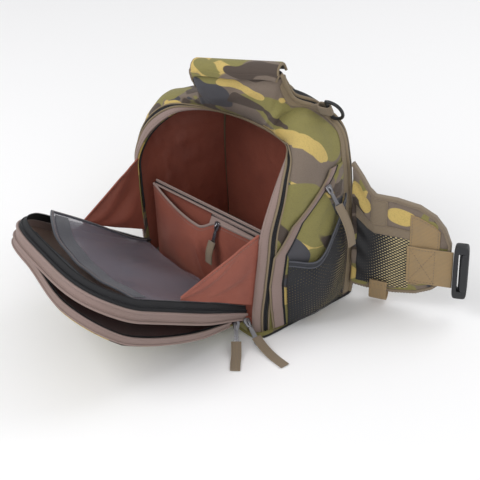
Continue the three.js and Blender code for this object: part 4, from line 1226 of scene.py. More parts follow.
@dataclass
class Body:
    """Main cloth, opening's trims, linings, base, neck fold and padded back."""

    form: BodyForm
    bench: Bench
    binding_width: float = 1.6
    tape_in: float = 2.2 + GAP + 1.2 + GAP
    lining_in: float = 2.2 + 4 * GAP
    folds: tuple[Crease, ...] = (
        Crease((330, 118), (420, 30), 9, 2.4),
        Crease((300, 122), (360, 45), 8, -2.2),
        Crease((400, 120), (500, 70), 10, 2.0),
        Crease((520, 118), (640, 40), 11, 2.6),
        Crease((560, 122), (690, 85), 9, -2.0),
        Crease((640, 110), (720, 30), 10, 2.2),
        Crease((255, 126), (290, 40), 7, 1.6),
        Crease((180, 122), (235, 60), 8, -1.6),
    )

    def cloth(self) -> None:
        """The outer cloth: the body's surface with folds, 2.2 mm thick inwards."""
        u, v = np.meshgrid(np.linspace(0, 1, 321), lipped(96, 0.02))
        base = self.form.surface(u, v)
        free = ease((v - 0.1) / 0.14) * ease((0.9 - v) / 0.12)
        uneven = Waves(5, 90, 16, 0.9).at(base) + creased(self.folds, u * 900, v * 140)
        lift = uneven * free * 0.8
        top = lifted(self.form.surface, u, v, lift)
        low = lifted(self.form.surface, u, v, lift - self.form.cloth_wall)
        self.bench.dress(sheet_piece("shell_cloth", top, low), "camouflage", Slot.CAMO, ["main_shell"])

    def strip(
        self, name: str, node: str, columns: tuple[float, float], rows: tuple[float, float], lift: float
    ) -> None:
        """A bound strip on the cloth, slightly domed, with a row of stitches at each side.

        Args:
            name: the piece's name.
            node: CAD node that it stands for.
            columns: first and last u.
            rows: first and last v.
            lift: height of its lower face.
        """
        share = lipped(10, 0.12)
        u, s = np.meshgrid(np.linspace(*columns, 300), share)
        v = mix(rows[0], rows[1], s)
        height = 1.1 if node == "arch_trim" else 0.3
        dome = height * np.sqrt(np.maximum(0, 1 - (2 * s - 1) ** 2))
        top = lifted(self.form.surface, u, v, lift + self.binding_width * 0.5 + dome)
        low = lifted(self.form.surface, u, v, lift)
        finish = "trim_band" if node == "arch_trim" else "bound_edge"
        self.bench.dress(sheet_piece(name, top, low, 0.9), finish, Slot.TAUPE, [node])
        for tag, place in (("inner", 0.16), ("outer", 0.86)):
            line = np.linspace(*columns, 500)
            at = np.full_like(line, mix(rows[0], rows[1], place))
            lift_at = lift + self.binding_width * 0.5 + height * math.sqrt(1 - (2 * place - 1) ** 2)
            route = lifted(self.form.surface, line, at, lift_at)
            up = normals(self.form.surface, line, at)
            self.bench.sew(f"{name}_thread_{tag}", route, up)

    def line(self, v: float, lift: float, columns: tuple[float, float] = (0.0, 1.0)) -> tuple[Array, Array]:
        """A line on the cloth at one v, and the normals along it."""
        u = np.linspace(*columns, 420)
        at = np.full_like(u, v)
        return lifted(self.form.surface, u, at, lift), normals(self.form.surface, u, at)

    def opening(self) -> None:
        """Trim band, piping, a closed zip beside it and the open zip's tape inside the rim."""
        self.strip("arch_band", "arch_trim", (0, 1), (0.0, self.form.trim_share), GAP)
        route, up = self.line(self.form.trim_share + 0.009, 1.5)
        self.bench.cord("arch_piping", route, up, (10, 1.35), "bound_edge", Slot.TAUPE)
        u, s = np.meshgrid(np.linspace(0, 1, 300), lipped(6, 0.1))
        v = mix(self.form.trim_share + 0.018, self.form.trim_share + 0.056, s)
        ridge = 0.9 + 0.7 * np.exp(-(((s - 0.28) / 0.13) ** 2)) + 0.7 * np.exp(-(((s - 0.74) / 0.13) ** 2))
        groove = sheet_piece(
            "arch_zip_cover",
            lifted(self.form.surface, u, v, ridge),
            lifted(self.form.surface, u, v, 0.1),
            0.6,
        )
        self.bench.dress(groove, "zip_tape", Slot.BLACK)
        route, up = self.line(self.form.trim_share + 0.038, 1.25)
        self.bench.zip("arch_zip_coil", route, up, 2.2)
        route, up = self.line(self.form.trim_share + 0.064, 1.2)
        self.bench.cord("arch_piping_outer", route, up, (8, 1.0), "bound_edge", Slot.TAUPE)
        u, v = np.meshgrid(np.linspace(4 / 44, 40 / 44, 300), lipped(8, 0.15) * 0.05 - 0.006)
        v = np.maximum(v, 0)
        reach = self.tape_in
        inner = lifted(self.form.surface, u, v, -reach - 1.5)
        tape = sheet_piece("open_zip_tape", lifted(self.form.surface, u, v, -reach), inner, 0.6)
        self.bench.dress(tape, "zip_tape", Slot.BLACK, ["arch_zip_tape"])
        span = (4 / 44, 40 / 44)
        route, up = self.line(0.0, -reach - 0.6, span)
        depth = unit(np.cross(np.gradient(route, axis=0), up))
        self.bench.zip("open_zip_coil", route + depth * 0.9, depth, 3.0)

    def seam_cover(self) -> None:
        """Binding rolled over the seam between the cloth's back edge and the padded back."""
        line = np.linspace(0, self.form.share(9.9), 260)
        for name, u in (("right", line), ("left", 1 - line)):
            edge = self.form.surface(u, np.ones_like(u))
            near = self.form.surface(u, np.full_like(u, 0.97))
            behind = unit(edge - near)
            up = normals(self.form.surface, u, np.ones_like(u))
            route = edge + behind * 1.9 + up * 0.6
            self.bench.cord(f"seam_roll_{name}", route, up, (12, 2.7), "bound_edge", Slot.TAUPE)

    def linings(self) -> None:
        """Inner cloth: follows the walls, and closes the top straight back under the neck."""

        def inner(u: Array, v: Array) -> Array:
            """The wall's own line moved in, blended to a low roof above row 5."""
            wall = lifted(self.form.surface, u, v, -self.lining_in)
            start = lifted(self.form.surface, u, np.full_like(v, self.form.trim_share), -self.lining_in)
            end = np.stack(
                [
                    start[..., 0] * 0.95,
                    np.full_like(v, self.form.depth / 2 - 9),
                    np.full_like(v, self.form.rim_height + 8),
                ],
                -1,
            )
            roof = mix(start, end, v[..., None])
            side = np.minimum(u, 1 - u) / self.form.share(1)
            return mix(wall, roof, ease((side - 5) / 1.5)[..., None])

        u, s = np.meshgrid(np.linspace(0, 1, 261), np.linspace(0, 1, 70))
        v = mix(0.06, 1.0, s)
        uneven = np.minimum(Waves(9, 70, 15, 1.6).at(inner(u, v)), 0.6) * arch(s, 0.5)
        way = normals(inner, u, v)
        top = inner(u, v) + way * uneven[..., None]
        low = top - way * 1.0
        made = sheet_piece("lining_cloth", top, low)
        self.bench.dress(made, "lining_rose", Slot.ROSE, ["main_lining"])
        u, v = np.meshgrid(np.linspace(0.02, 0.98, 100), np.linspace(0.005, 0.68, 66))
        bulge = np.maximum(Waves(12, 60, 18, 1.3).at(self.form.back_face(u, v)), 0)
        bulge = bulge * arch(u, 0.7) * arch(v, 0.7)
        top = lifted(self.form.back_face, u, v, self.form.back_gap - 2 * GAP)
        low = lifted(self.form.back_face, u, v, 0.15 - bulge)
        self.bench.dress(sheet_piece("back_inner_cloth", top, low), "lining_rose", Slot.ROSE, ["back_lining"])
        half = np.array([self.form.width * 0.427, self.form.depth * 0.483])
        middle = np.array([0, -3.5])
        turn = soft_box(96, 12)
        rings = np.stack([np.c_[turn * half * s + middle, np.full(96, z)] for s, z in self.plate_rows(4.6)])
        floor = tube_piece("floor_cloth", rings)
        self.bench.dress(floor, "lining_rose", Slot.ROSE, ["floor_lining"])

    @staticmethod
    def plate_rows(top: float) -> list[tuple[float, float]]:
        """Sizes and heights of the rings of a thin rounded plate, from below to its top."""
        return [(0.2, top - 1.2), (0.985, top - 1.2), (1.0, top - 0.6), (0.985, top), (0.2, top)]

    def base(self) -> None:
        """The base: a flat panel with rounded corners and a rolled edge."""
        back, front = self.form.depth / 2 + 5, self.form.depth / 2 + 12
        size = np.array([self.form.width / 2 + 4, (back + front) / 2])
        middle = (back - front) / 2
        turn = soft_box(128, 14)
        rows = [(0.2, 0.0), (0.985, 0.0), (1.0, 0.9), (1.0, 2.1), (0.988, 3.0), (0.2, 3.0)]
        rings = np.stack(
            [np.c_[turn * size * s + np.array([0, middle]), np.full(128, z)] for s, z in rows]
        )
        self.bench.dress(tube_piece("base_cloth", rings), "camouflage", Slot.CAMO, ["base_panel"])
        edge = np.c_[turn * size, np.full(128, 1.5)]
        cord = carried(edge, vec(0, 0, 1), disc(8) * 1.3, closed=True)
        self.bench.dress(tube_piece("base_piping", cord, closed=True), "zip_tape", Slot.BLACK)

    def neck(self) -> None:
        """The neck's top: cloth that follows the front, turns over the edge and comes down behind."""
        form = self.form
        middle, top = np.array([0.5]), np.array([1.0])
        behind = normals(form.back_face, middle, top)[0]
        ends = form.back_face(np.array([0.0, 1.0]), np.array([1.0, 1.0]))
        up = unit(np.cross(behind, ends[0] - ends[1]))
        depth = form.back_gap + form.pad + GAP
        half = depth / 2 + GAP + form.cloth_wall
        front = 0.2

        def fold(u: Array, v: Array) -> Array:
            """Front leg on the body's surface, then half an ellipse, then a straight leg down."""
            share = mix(1 - form.share(form.neck_row), form.share(form.neck_row), u)
            height = 1 - 0.08 * (1 - np.minimum(v / front, 1))
            hug = mix(form.cloth_wall + 0.1, form.cloth_wall + 0.5 + GAP, ease(v / front))
            leg = lifted(form.surface, share, height, hug)
            around = np.maximum(v - front, 0) / (1 - front)
            turn = np.pi * np.minimum(around / 0.75, 1)
            down = 7 * np.maximum(0, around * 4 - 3)
            arc = form.back_face(u, np.ones_like(u))
            arc = arc + behind * (depth / 2 - half * np.cos(turn))[..., None]
            arc = arc + up * (GAP + 7 * np.sin(turn) - down)[..., None]
            return np.where((v < front)[..., None], leg, arc)

        u, v = np.meshgrid(lipped(60, 0.03), np.linspace(0, 1, 60))
        points = fold(u, v)
        grid_way = unit(np.cross(np.gradient(points, axis=0), np.gradient(points, axis=1)))
        puckers = Waves(21, 26, 9, 0.5).at(points) * arch(v, 0.6)
        top_face = points + grid_way * (0.2 + puckers)[..., None]
        made = sheet_piece("neck_cloth", top_face, points - grid_way * form.cloth_wall, 1.0)
        self.bench.dress(made, "camouflage", Slot.CAMO, ["neck_fold"])
        for tag, column in (("right", -1), ("left", 0)):
            roll = carried(points[1:, column], grid_way[1:, column], disc(10) * 1.8)
            self.bench.dress(tube_piece(f"neck_edge_{tag}", roll), "bound_edge", Slot.TAUPE)
        for tag, place in (("front", 4), ("back", 52)):
            self.bench.sew(f"neck_thread_{tag}", points[place] + grid_way[place] * 0.3, grid_way[place])

    def back(self) -> None:
        """The padded back: three raised cushions with sewn channels between, in dimpled knit."""
        form = self.form
        u, v = np.meshgrid(lipped(84, 0.03), lipped(120, 0.02))
        a = 2 * u - 1
        thick = form.pad * mix(0.4, 1, np.sqrt(np.maximum(0, 1 - a**4)))
        channel = np.zeros_like(u)
        for place in (0.3, 0.52, 0.74):
            bow = place + 0.035 * (1 - a * a)
            channel += np.exp(-(((v - bow) / 0.014) ** 2))
        channel += np.exp(-((a / 0.05) ** 2)) * ease((v - 0.02) / 0.05) * ease((0.72 - v) / 0.06)
        rise = 2.2 * (1 - 1.9 * np.minimum(channel, 1)) * (1 - a**6)
        top = lifted(form.back_face, u, v, form.back_gap + thick + rise - 1.4)
        low = lifted(form.back_face, u, v, form.back_gap)
        pad = sheet_piece("back_pad", top, low, 3.0)
        self.bench.dress(settled(pad, 1.5, 0.8), "spacer_black", Slot.BLACK, ["back_panel"])
        for tag, side in (("right", 0.985), ("left", 0.015)):
            line = np.linspace(0.01, 0.95, 220)
            at = np.full_like(line, side)
            route = lifted(form.back_face, at, line, form.back_gap + form.pad * 0.4)
            up = normals(form.back_face, at, line)
            self.bench.cord(f"back_piping_{tag}", route, up, (10, 2.1), "bound_edge", Slot.TAUPE)

    def build(self) -> None:
        """Builds every piece of the body."""
        self.cloth()
        self.opening()
        rows = (0.0, self.form.share(9.5))
        self.strip("edge_binding_cloth_right", "edge_binding_right", rows, (0.92, 1.0), GAP)
        flip = (1 - rows[1], 1.0)
        self.strip("edge_binding_cloth_left", "edge_binding_left", flip, (0.92, 1.0), GAP)
        self.seam_cover()
        self.linings()
        self.base()
        self.neck()
        self.back()


@dataclass
class Flap:
    """The flap as a tray: shell, lining, trims and zip, clear pocket, elastic, and front pocket."""

    form: FlapForm
    body: BodyForm
    bench: Bench
    cloth_wall: float = 2.2
    lining_wall: float = 1.2
    tape_wall: float = 1.5
    tape_lean: float = 5.0
    film_length: float = 196.0
    film_half: float = 94.0

    def band(
        self,
        first: float,
        out: tuple[float, float],
        low: Height,
        high: Height,
        grooved: float,
        lean: float = 0.0,
    ) -> Array:
        """Rings of a band on the flap's edge: a soft box between two heights, grooved or domed.

        Args:
            first: how far from the hinge it starts.
            out: inner and outer face, measured outwards from the edge.
            low: lower height from x and v.
            high: upper height from x and v.
            grooved: depth of the groove along its middle, negative for a dome.
            lean: how far its top leans inwards.

        Returns:
            Points, rings by points of a ring.
        """
        x, v, ox, ov = (k[:, None] for k in self.form.edge(first))
        box = soft_box(30, 6.0)[None]
        s = box[..., 1]
        outer = (box[..., 0] + 1) / 2
        shaped = mix(out[0], out[1], outer) - lean * (s + 1) / 2
        shaped = shaped - outer * grooved * np.exp(-((s / 0.3) ** 2))
        w = mix(low(x, v), high(x, v), (s + 1) / 2)
        return self.form.point(x + ox * shaped, v + ov * shaped, w)

    def edge_line(self, first: float, out: float, height: Height) -> tuple[Array, Array]:
        """A line along the flap's edge and the outward directions beside it."""
        x, v, ox, ov = self.form.edge(first)
        w = height(x, v)
        route = self.form.point(x + ox * out, v + ov * out, w)
        outward = self.form.point(x + ox * (out + 1), v + ov * (out + 1), w) - route
        return route, outward

    def grid(self, height: Height, sag: float, count: int = 110) -> Array:
        """A grid over the flap's plan at a height, sagging in its middle like a bowl."""
        a, b = np.meshgrid(np.linspace(-1, 1, count), np.linspace(0, 1, count))
        v = mix(self.form.start, self.form.front(a), b)
        x = a * self.form.side(v)
        return self.form.point(x, v, height(x, v) - sag * (1 - a * a) * np.sin(np.pi * b))

    def tray(self) -> None:
        """Outer panel, lining with soft folds, trim band, standing zip tape and its coil."""
        form = self.form
        wall, lining = self.cloth_wall, self.lining_wall
        low = self.grid(lambda x, v: form.floor(v), 3.0)
        top = self.grid(lambda x, v: form.floor(v) + wall, 3.0)
        self.bench.dress(sheet_piece("flap_cloth", top, low), "camouflage", Slot.CAMO, ["flap_shell"])
        base = self.grid(lambda x, v: form.floor(v) + wall + GAP, 3.0)
        way = unit(top - low)
        uneven = np.maximum(Waves(31, 60, 14, 0.9).at(base), -0.2)
        face = base + way * (lining + uneven * 0.6)[..., None]
        made = sheet_piece("tray_lining_cloth", face, base)
        self.bench.dress(made, "tray_cloth", Slot.BROWN, ["flap_lining"])
        self.bench.cloth(made, (face + base) / 2, "stretched", ["flap_cloth"])
        out = (form.wall_out, form.wall_out + wall)
        rings = self.band(form.start, out, lambda x, v: form.floor(v), lambda x, v: 0 * v, 0.9)
        self.bench.dress(tube_piece("flap_band", rings), "trim_band", Slot.TAUPE, ["flap_trim"])
        for tag, share in (("upper", 0.26), ("lower", 0.78)):
            route, way = self.edge_line(form.start, out[1] + 0.1, lambda x, v, s=share: form.floor(v) * s)
            self.bench.sew(f"flap_thread_{tag}", route, way, "thread_rose")
        for tag, share in (("upper", 0.1), ("lower", 1.06)):
            route, way = self.edge_line(form.start, out[1] + 0.6, lambda x, v, s=share: form.floor(v) * s)
            self.bench.cord(f"flap_rail_{tag}", route, way, (10, 1.6), "trim_band", Slot.TAUPE)
        rise = form.tape_rise
        tape = self.band(
            form.start,
            (form.wall_out, form.wall_out + self.tape_wall),
            lambda x, v: GAP + 0 * v,
            lambda x, v: rise * form.taper(v),
            0.0,
            self.tape_lean,
        )
        self.bench.dress(tube_piece("flap_tape", tape), "zip_tape", Slot.BLACK, ["flap_zip_tape"])
        for tag, height, out_by in (("edge", 1.0, -4.0), ("fold", 0.42, 0.55)):
            route, way = self.edge_line(
                form.start, out_by, lambda x, v, h=height: rise * form.taper(v) * h + 0.3
            )
            self.bench.zip(f"flap_coil_{tag}", route, way, 2.8)

    def sill(self) -> None:
        """The low front wall under the hinge, bowed and soft."""
        half = self.body.rim_points[0][0] - self.cloth_wall - GAP
        top = float(self.form.point(0, self.form.start, self.form.floor(self.form.start))[2]) - GAP
        u, v = np.meshgrid(np.linspace(-half, half, 120), np.linspace(0, 1, 16))
        y = self.form.hinge_y - 3 - 2 * np.sin(np.pi * v) + 0.3 * np.sin(u / 11)
        z = mix(self.body.seat, top, v)
        low = np.stack([u, y, z], -1)
        face = low + vec(0, -self.cloth_wall, 0)
        self.bench.dress(sheet_piece("sill_cloth", face, low, 0.8), "camouflage", Slot.CAMO, ["front_sill"])

    def pocket(self) -> None:
        """The front pocket under the flap: outer panel, lining coloured in painted shade, double trim and
        gaping zip.
        """
        form = self.form
        wall = self.cloth_wall
        top = self.grid(lambda x, v: form.pocket_low(x, v) - GAP, 4.0)
        low = self.grid(lambda x, v: form.pocket_low(x, v) - GAP - wall, 4.0)
        made = sheet_piece("front_pocket_cloth", top, low)
        self.bench.dress(made, "camouflage", Slot.CAMO, ["front_pocket_shell"])
        inner = self.grid(lambda x, v: form.pocket_low(x, v) + 0.2, 3.6)
        lined = inner + unit(top - low) * 0.8
        # painted shade: the pocket's rose lining gets its colour in shade
        self.bench.dress(sheet_piece("front_pocket_lining", lined, inner), "lining_rose_painted_shade", Slot.ROSE)
        first = form.start + float(form.front(1.0)) / 8
        out = (form.wall_out, form.wall_out + wall)
        rings = self.band(first, out, form.pocket_low, form.pocket_top, 1.5)
        band = tube_piece("front_pocket_band", rings)
        self.bench.dress(band, "trim_band", Slot.TAUPE, ["front_pocket_trim"])
        for tag, share in (("upper", 0.93), ("lower", 0.07)):
            route, way = self.edge_line(
                first,
                out[1] + 0.2,
                lambda x, v, s=share: mix(form.pocket_low(x, v), form.pocket_top(x, v), s),
            )
            self.bench.cord(f"front_pocket_rail_{tag}", route, way, (8, 1.15), "trim_band", Slot.TAUPE)
        tape = self.band(
            first,
            (-self.tape_wall - GAP, -GAP),
            lambda x, v: mix(form.pocket_top(x, v), form.pocket_low(x, v), 0.7),
            lambda x, v: form.pocket_top(x, v) - GAP,
            0.0,
        )
        self.bench.dress(tube_piece("front_pocket_zip", tape), "zip_tape", Slot.BLACK, ["front_pocket_tape"])
        route, way = self.edge_line(first, -0.4, lambda x, v: form.pocket_top(x, v) + 0.5)
        self.bench.zip("front_pocket_coil", route, way, 2.4)

    def elastic(self) -> None:
        """The elastic band across the tray, bowed up and ribbed."""
        form = self.form
        u, v = np.meshgrid(np.linspace(0, 1, 90), lipped(12, 0.12))
        x = mix(-0.8, 0.8, u) * form.half
        place = form.length * 0.87 + mix(-7, 7, v)
        lift = 2 * GAP + self.lining_wall + 0.3 + 3 * np.sin(np.pi * u)
        along = place - 18 * np.abs(x / form.half) ** 3
        low = form.point(x, along, form.floor(place) + self.cloth_wall + lift)
        high = form.point(x, along, form.floor(place) + self.cloth_wall + lift + self.tape_wall)
        self.bench.dress(sheet_piece("elastic_band", high, low, 0.6), "elastic", Slot.BLACK, ["flap_elastic"])

    def film_face(self, u: Array, v: Array) -> Array:
        """The clear cover: rounded at its front corners, lifted on the left, slightly wavy."""
        a = mix(-1, 1, u)
        reach = self.film_length - 60 * np.maximum(np.abs(a) - 0.45, 0) ** 1.6
        place = mix(14, reach, v)
        raised = 17 * ease((-a - 0.2) / 0.8) * ease(v / 0.9)
        wave = 1.6 * np.sin(5 * a + 4 * v) + 0.5 * np.sin(13 * a - 9 * v)
        return self.form.point(a * self.film_half * 0.97, place, 3 + raised + wave)

    def clear_pocket(self) -> None:
        """The clear cover with its bound edge and a sewn hem across its front."""
        u, v = np.meshgrid(np.linspace(0, 1, 100), np.linspace(0, 1, 90))
        low = self.film_face(u, v)
        high = lifted(self.film_face, u, v, 0.8)
        film = sheet_piece("clear_cover", high, low)
        self.bench.dress(film, "clear_film", Slot.FILM, ["clear_pocket_film"])
        self.bench.cloth(film, (low + high) / 2, "hung", ["clear_cover_edge"])
        count = 60
        one, zero = np.ones(count), np.zeros(count)
        up, down = np.linspace(0, 1, count), np.linspace(1, 0, count)
        u = np.concatenate([one, down[1:], zero[1:]])
        v = np.concatenate([up, one[1:], down[1:]])
        edge = self.film_face(u, v)
        centre = self.film_face(np.array([0.5]), np.array([0.5]))[0]
        out = unit(edge - centre)
        lift = normals(self.film_face, u, v)
        box = soft_box(16, 4.0)
        middle = edge + out * (GAP + 1.75) + lift * 1.1
        across, upward = box[None, :, :1], box[None, :, 1:]
        rings = middle[:, None] + out[:, None] * across * 2.3 + lift[:, None] * upward * 1.25
        bound = tube_piece("clear_cover_edge", rings)
        self.bench.dress(bound, "film_edge", Slot.BLACK, ["clear_pocket_binding"])
        self.bench.sew("clear_cover_thread", middle + lift * 1.3, lift, "thread_rose")
        u, v = np.meshgrid(np.linspace(0.03, 0.97, 90), mix(0.86, 0.985, lipped(6, 0.1)))
        strip = sheet_piece(
            "clear_cover_hem", lifted(self.film_face, u, v, 1.5), lifted(self.film_face, u, v, 0.9), 0.5
        )
        self.bench.dress(strip, "film_edge", Slot.BLACK)

    def build(self) -> None:
        """Builds every piece of the flap."""
        self.tray()
        self.sill()
        self.pocket()
        self.elastic()
        self.clear_pocket()


@dataclass
class Gussets:
    """The two cloth triangles between the opening's sides and the flap."""

    body: BodyForm
    flap: FlapForm
    bench: Bench
    foot: float = 0.5
    low_row: float = 1.4
    high_row: float = 4.0
    wall: float = 1.2
    creases: tuple[Crease, ...] = (
        Crease((0.1, 0.95), (0.85, 0.25), 0.12, 3.2),
        Crease((0.0, 0.6), (0.75, 0.1), 0.1, -3.0),
        Crease((0.05, 0.3), (0.6, 0.02), 0.09, 2.2),
        Crease((0.25, 0.98), (0.95, 0.6), 0.09, -1.6),
    )

    def build(self) -> None:
        """Each is a fan from the opening's rim to one place of the flap, folded and hemmed."""
        for name, side in (("right", 1), ("left", -1)):
            flap = self.flap
            foot = flap.point(
                side * (flap.half - 7), flap.length * self.foot, flap.tape_rise + 1
            )

            def face(u: Array, v: Array, side: int = side, foot: Array = foot) -> Array:
                """From the rim to the foot, folding inwards along lines that run to the foot."""
                share = self.body.share(mix(self.low_row, self.high_row, v))
                rim = self.body.surface(share if side > 0 else 1 - share, np.zeros_like(v))
                rear = rim + vec(-side * (1.1 + GAP), -0.3, 0)
                point = mix(rear, foot, u[..., None])
                fold = 5 * arch(u) * arch(v) * np.sin(1.5 + 4 * v)
                fold = fold + (creased(self.creases, u, v) * 2 + 3.5 * (1 - v) * v) * arch(u, 0.6) * (1 - u)
                point[..., 0] -= side * fold
                return point

            u, v = np.meshgrid(np.linspace(0, 0.97, 110), np.linspace(0, 1, 90))
            high, low = lifted(face, u, v, self.wall / 2), lifted(face, u, v, -self.wall / 2)
            made = sheet_piece(f"gusset_cloth_{name}", high, low)
            self.bench.dress(made, "lining_rose", Slot.ROSE, [f"gusset_{name}"])
            self.bench.cloth(made, (high + low) / 2, "hung", ["arch_band", "flap_tape"])
            line = np.linspace(0.01, 0.965, 120)
            top = face(line, np.ones_like(line))
            way = normals(face, line, np.ones_like(line))
            hem = tube_piece(f"gusset_hem_{name}", carried(top, way, disc(10) * np.array([1.3, 1.7])))
            self.bench.dress(hem, "lining_rose", Slot.ROSE)
            inside = np.full_like(line, 0.955)
            for tag, lift in (("in", 0.9), ("out", -0.9)):
                route = lifted(face, line, inside, lift)
                up = normals(face, line, inside)
                self.bench.sew(f"gusset_thread_{name}_{tag}", route, up, "thread_rose")


@dataclass
class Divider:
    """The zipped pocket across the front of the compartment, gaping at its left."""

    body: BodyForm
    bench: Bench
    height: float = 118.0
    depth: float = 12.0
    slope: float = 16.0
    zip_width: float = 9.0
    lining_wall: float = 1.2

    def __post_init__(self) -> None:
        """Takes its place and half width from the opening's third row."""
        self.y = float(self.body.rim_points[3][1]) + 9
        self.half = float(self.body.rim_points[3][0]) - 10
        self.low = self.body.seat + self.lining_wall + GAP

    def top(self, x: Array) -> Array:
        """Height of the pocket's upper edge."""
        return self.height + self.slope * (x / self.half) * 0.7

    def opened(self, x: Array) -> Array:
        """How far the zip is open at x, from 0 to 1."""
        return ease((0.28 - x / self.half) / 0.35)

    def front_face(self, u: Array, v: Array) -> Array:
        """Front wall: bellied, dropping where the zip is open, with soft vertical creases."""
        x = mix(-self.half, self.half, u) * mix(0.94, 1, v)
        middle = np.sin(np.pi * u)
        drop = 24 * self.opened(x) * middle * ease(v)
        belly = (6 + 9 * self.opened(x)) * middle * np.sin(np.pi * (0.15 + 0.7 * v))
        folds = 2.2 * np.sin(9 * u + 3 * v) + 1.6 * np.exp(-(((u - 0.56 + 0.1 * v) / 0.02) ** 2))
        folds = folds - 1.8 * np.exp(-(((u - 0.66 + 0.22 * v) / 0.03) ** 2))
        crease = folds * middle * np.sin(np.pi * v)
        top = self.top(x) - self.zip_width * (1 - self.opened(x)) - drop
        return np.stack([x, self.y + 4 - belly - crease, mix(self.low, top, v)], -1)

    def back_face(self, u: Array, v: Array) -> Array:
        """Back wall, flat and upright."""
        x = mix(-self.half, self.half, u) * mix(0.94, 1, v)
        y = self.y + self.depth + 0.8 * np.sin(7 * u + 2 * v) * np.sin(np.pi * v)
        return np.stack([x, y, mix(self.low, self.top(x), v)], -1)

    def build(self) -> None:
        """Builds the two walls, the zip tape with its coil and the bound edges."""
        u, v = np.meshgrid(np.linspace(0, 1, 150), np.linspace(0, 1, 80))
        for name, face, node in (
            ("divider_front_cloth", self.front_face, "divider_pocket_front"),
            ("divider_back_cloth", self.back_face, "divider_pocket_back"),
        ):
            points = face(u, v)
            wall = vec(0, self.lining_wall, 0) * (1 if face == self.front_face else -1)
            made = sheet_piece(name, points, points + wall)
            self.bench.dress(made, "lining_rose", Slot.ROSE, [node])
            self.bench.cloth(made, points + wall / 2, "hung", ["lining_cloth"])
        line = np.linspace(0, 1, 200)
        edge = self.front_face(line, np.ones_like(line)) + vec(0, 0.5, 0.3)
        ahead = vec(0, -1, 0.2)
        hem = tube_piece("divider_hem", carried(edge, ahead, disc(10) * np.array([1.3, 1.9])))
        self.bench.dress(hem, "trim_band", Slot.TAUPE)
        seam = self.front_face(line, np.full_like(line, 0.955)) + vec(0, -0.4, 0)
        self.bench.sew("divider_thread", seam, np.broadcast_to(ahead, seam.shape), "thread_rose")
        x = mix(-self.half, self.half, line)
        u, v = np.meshgrid(line, lipped(10, 0.1))
        xs = mix(-self.half, self.half, u)
        dip = 0.8 * np.sin(np.pi * v)
        y, z = mix(self.y + 6, self.y + self.depth - 3, v), self.top(xs) + mix(-0.3, 3.7, v) - dip
        top = np.stack([xs, y, z], -1)
        tape = sheet_piece("divider_tape", top, top + vec(0, 0.4, -1.3), 0.5)
        self.bench.dress(tape, "trim_band", Slot.TAUPE, ["divider_zip_tape"])
        for tag, y, z in (("upper", self.y + self.depth - 2.6, 4.1), ("lower", self.y + 5.6, -0.6)):
            route = np.stack([x, np.full_like(x, y), self.top(x) + z], -1)
            self.bench.cord(f"divider_rail_{tag}", route, ahead, (8, 1.1), "trim_band", Slot.TAUPE)
        keep = x > self.half * 0.1
        shut = x[keep]
        route = np.stack([shut, np.full_like(shut, self.y + 4.6), self.top(shut) - 3.6], -1)
        self.bench.zip("divider_coil_front", route, np.broadcast_to(ahead, route.shape), 2.6)
        route = np.stack([x, np.full_like(x, self.y + 7.4), self.top(x) + 1.6], -1)
        self.bench.zip("divider_coil_back", route, np.broadcast_to(vec(0, -0.6, 0.8), route.shape), 2.4)
        low = self.front_face(line, np.full_like(line, 0.985))
        high = np.stack([x, np.full_like(x, self.y + 6.2), self.top(x) - 0.9], -1)
        face = np.stack([low[keep] + vec(0, -0.1, 0), high[keep]])
        face = mix(face[:1], face[1:], np.linspace(0, 1, 8)[:, None, None])
        strip = sheet_piece("divider_zip_strip", face + vec(0, -0.5, 0), face + vec(0, 0.4, 0), 0.4)
        self.bench.dress(strip, "trim_band", Slot.TAUPE)


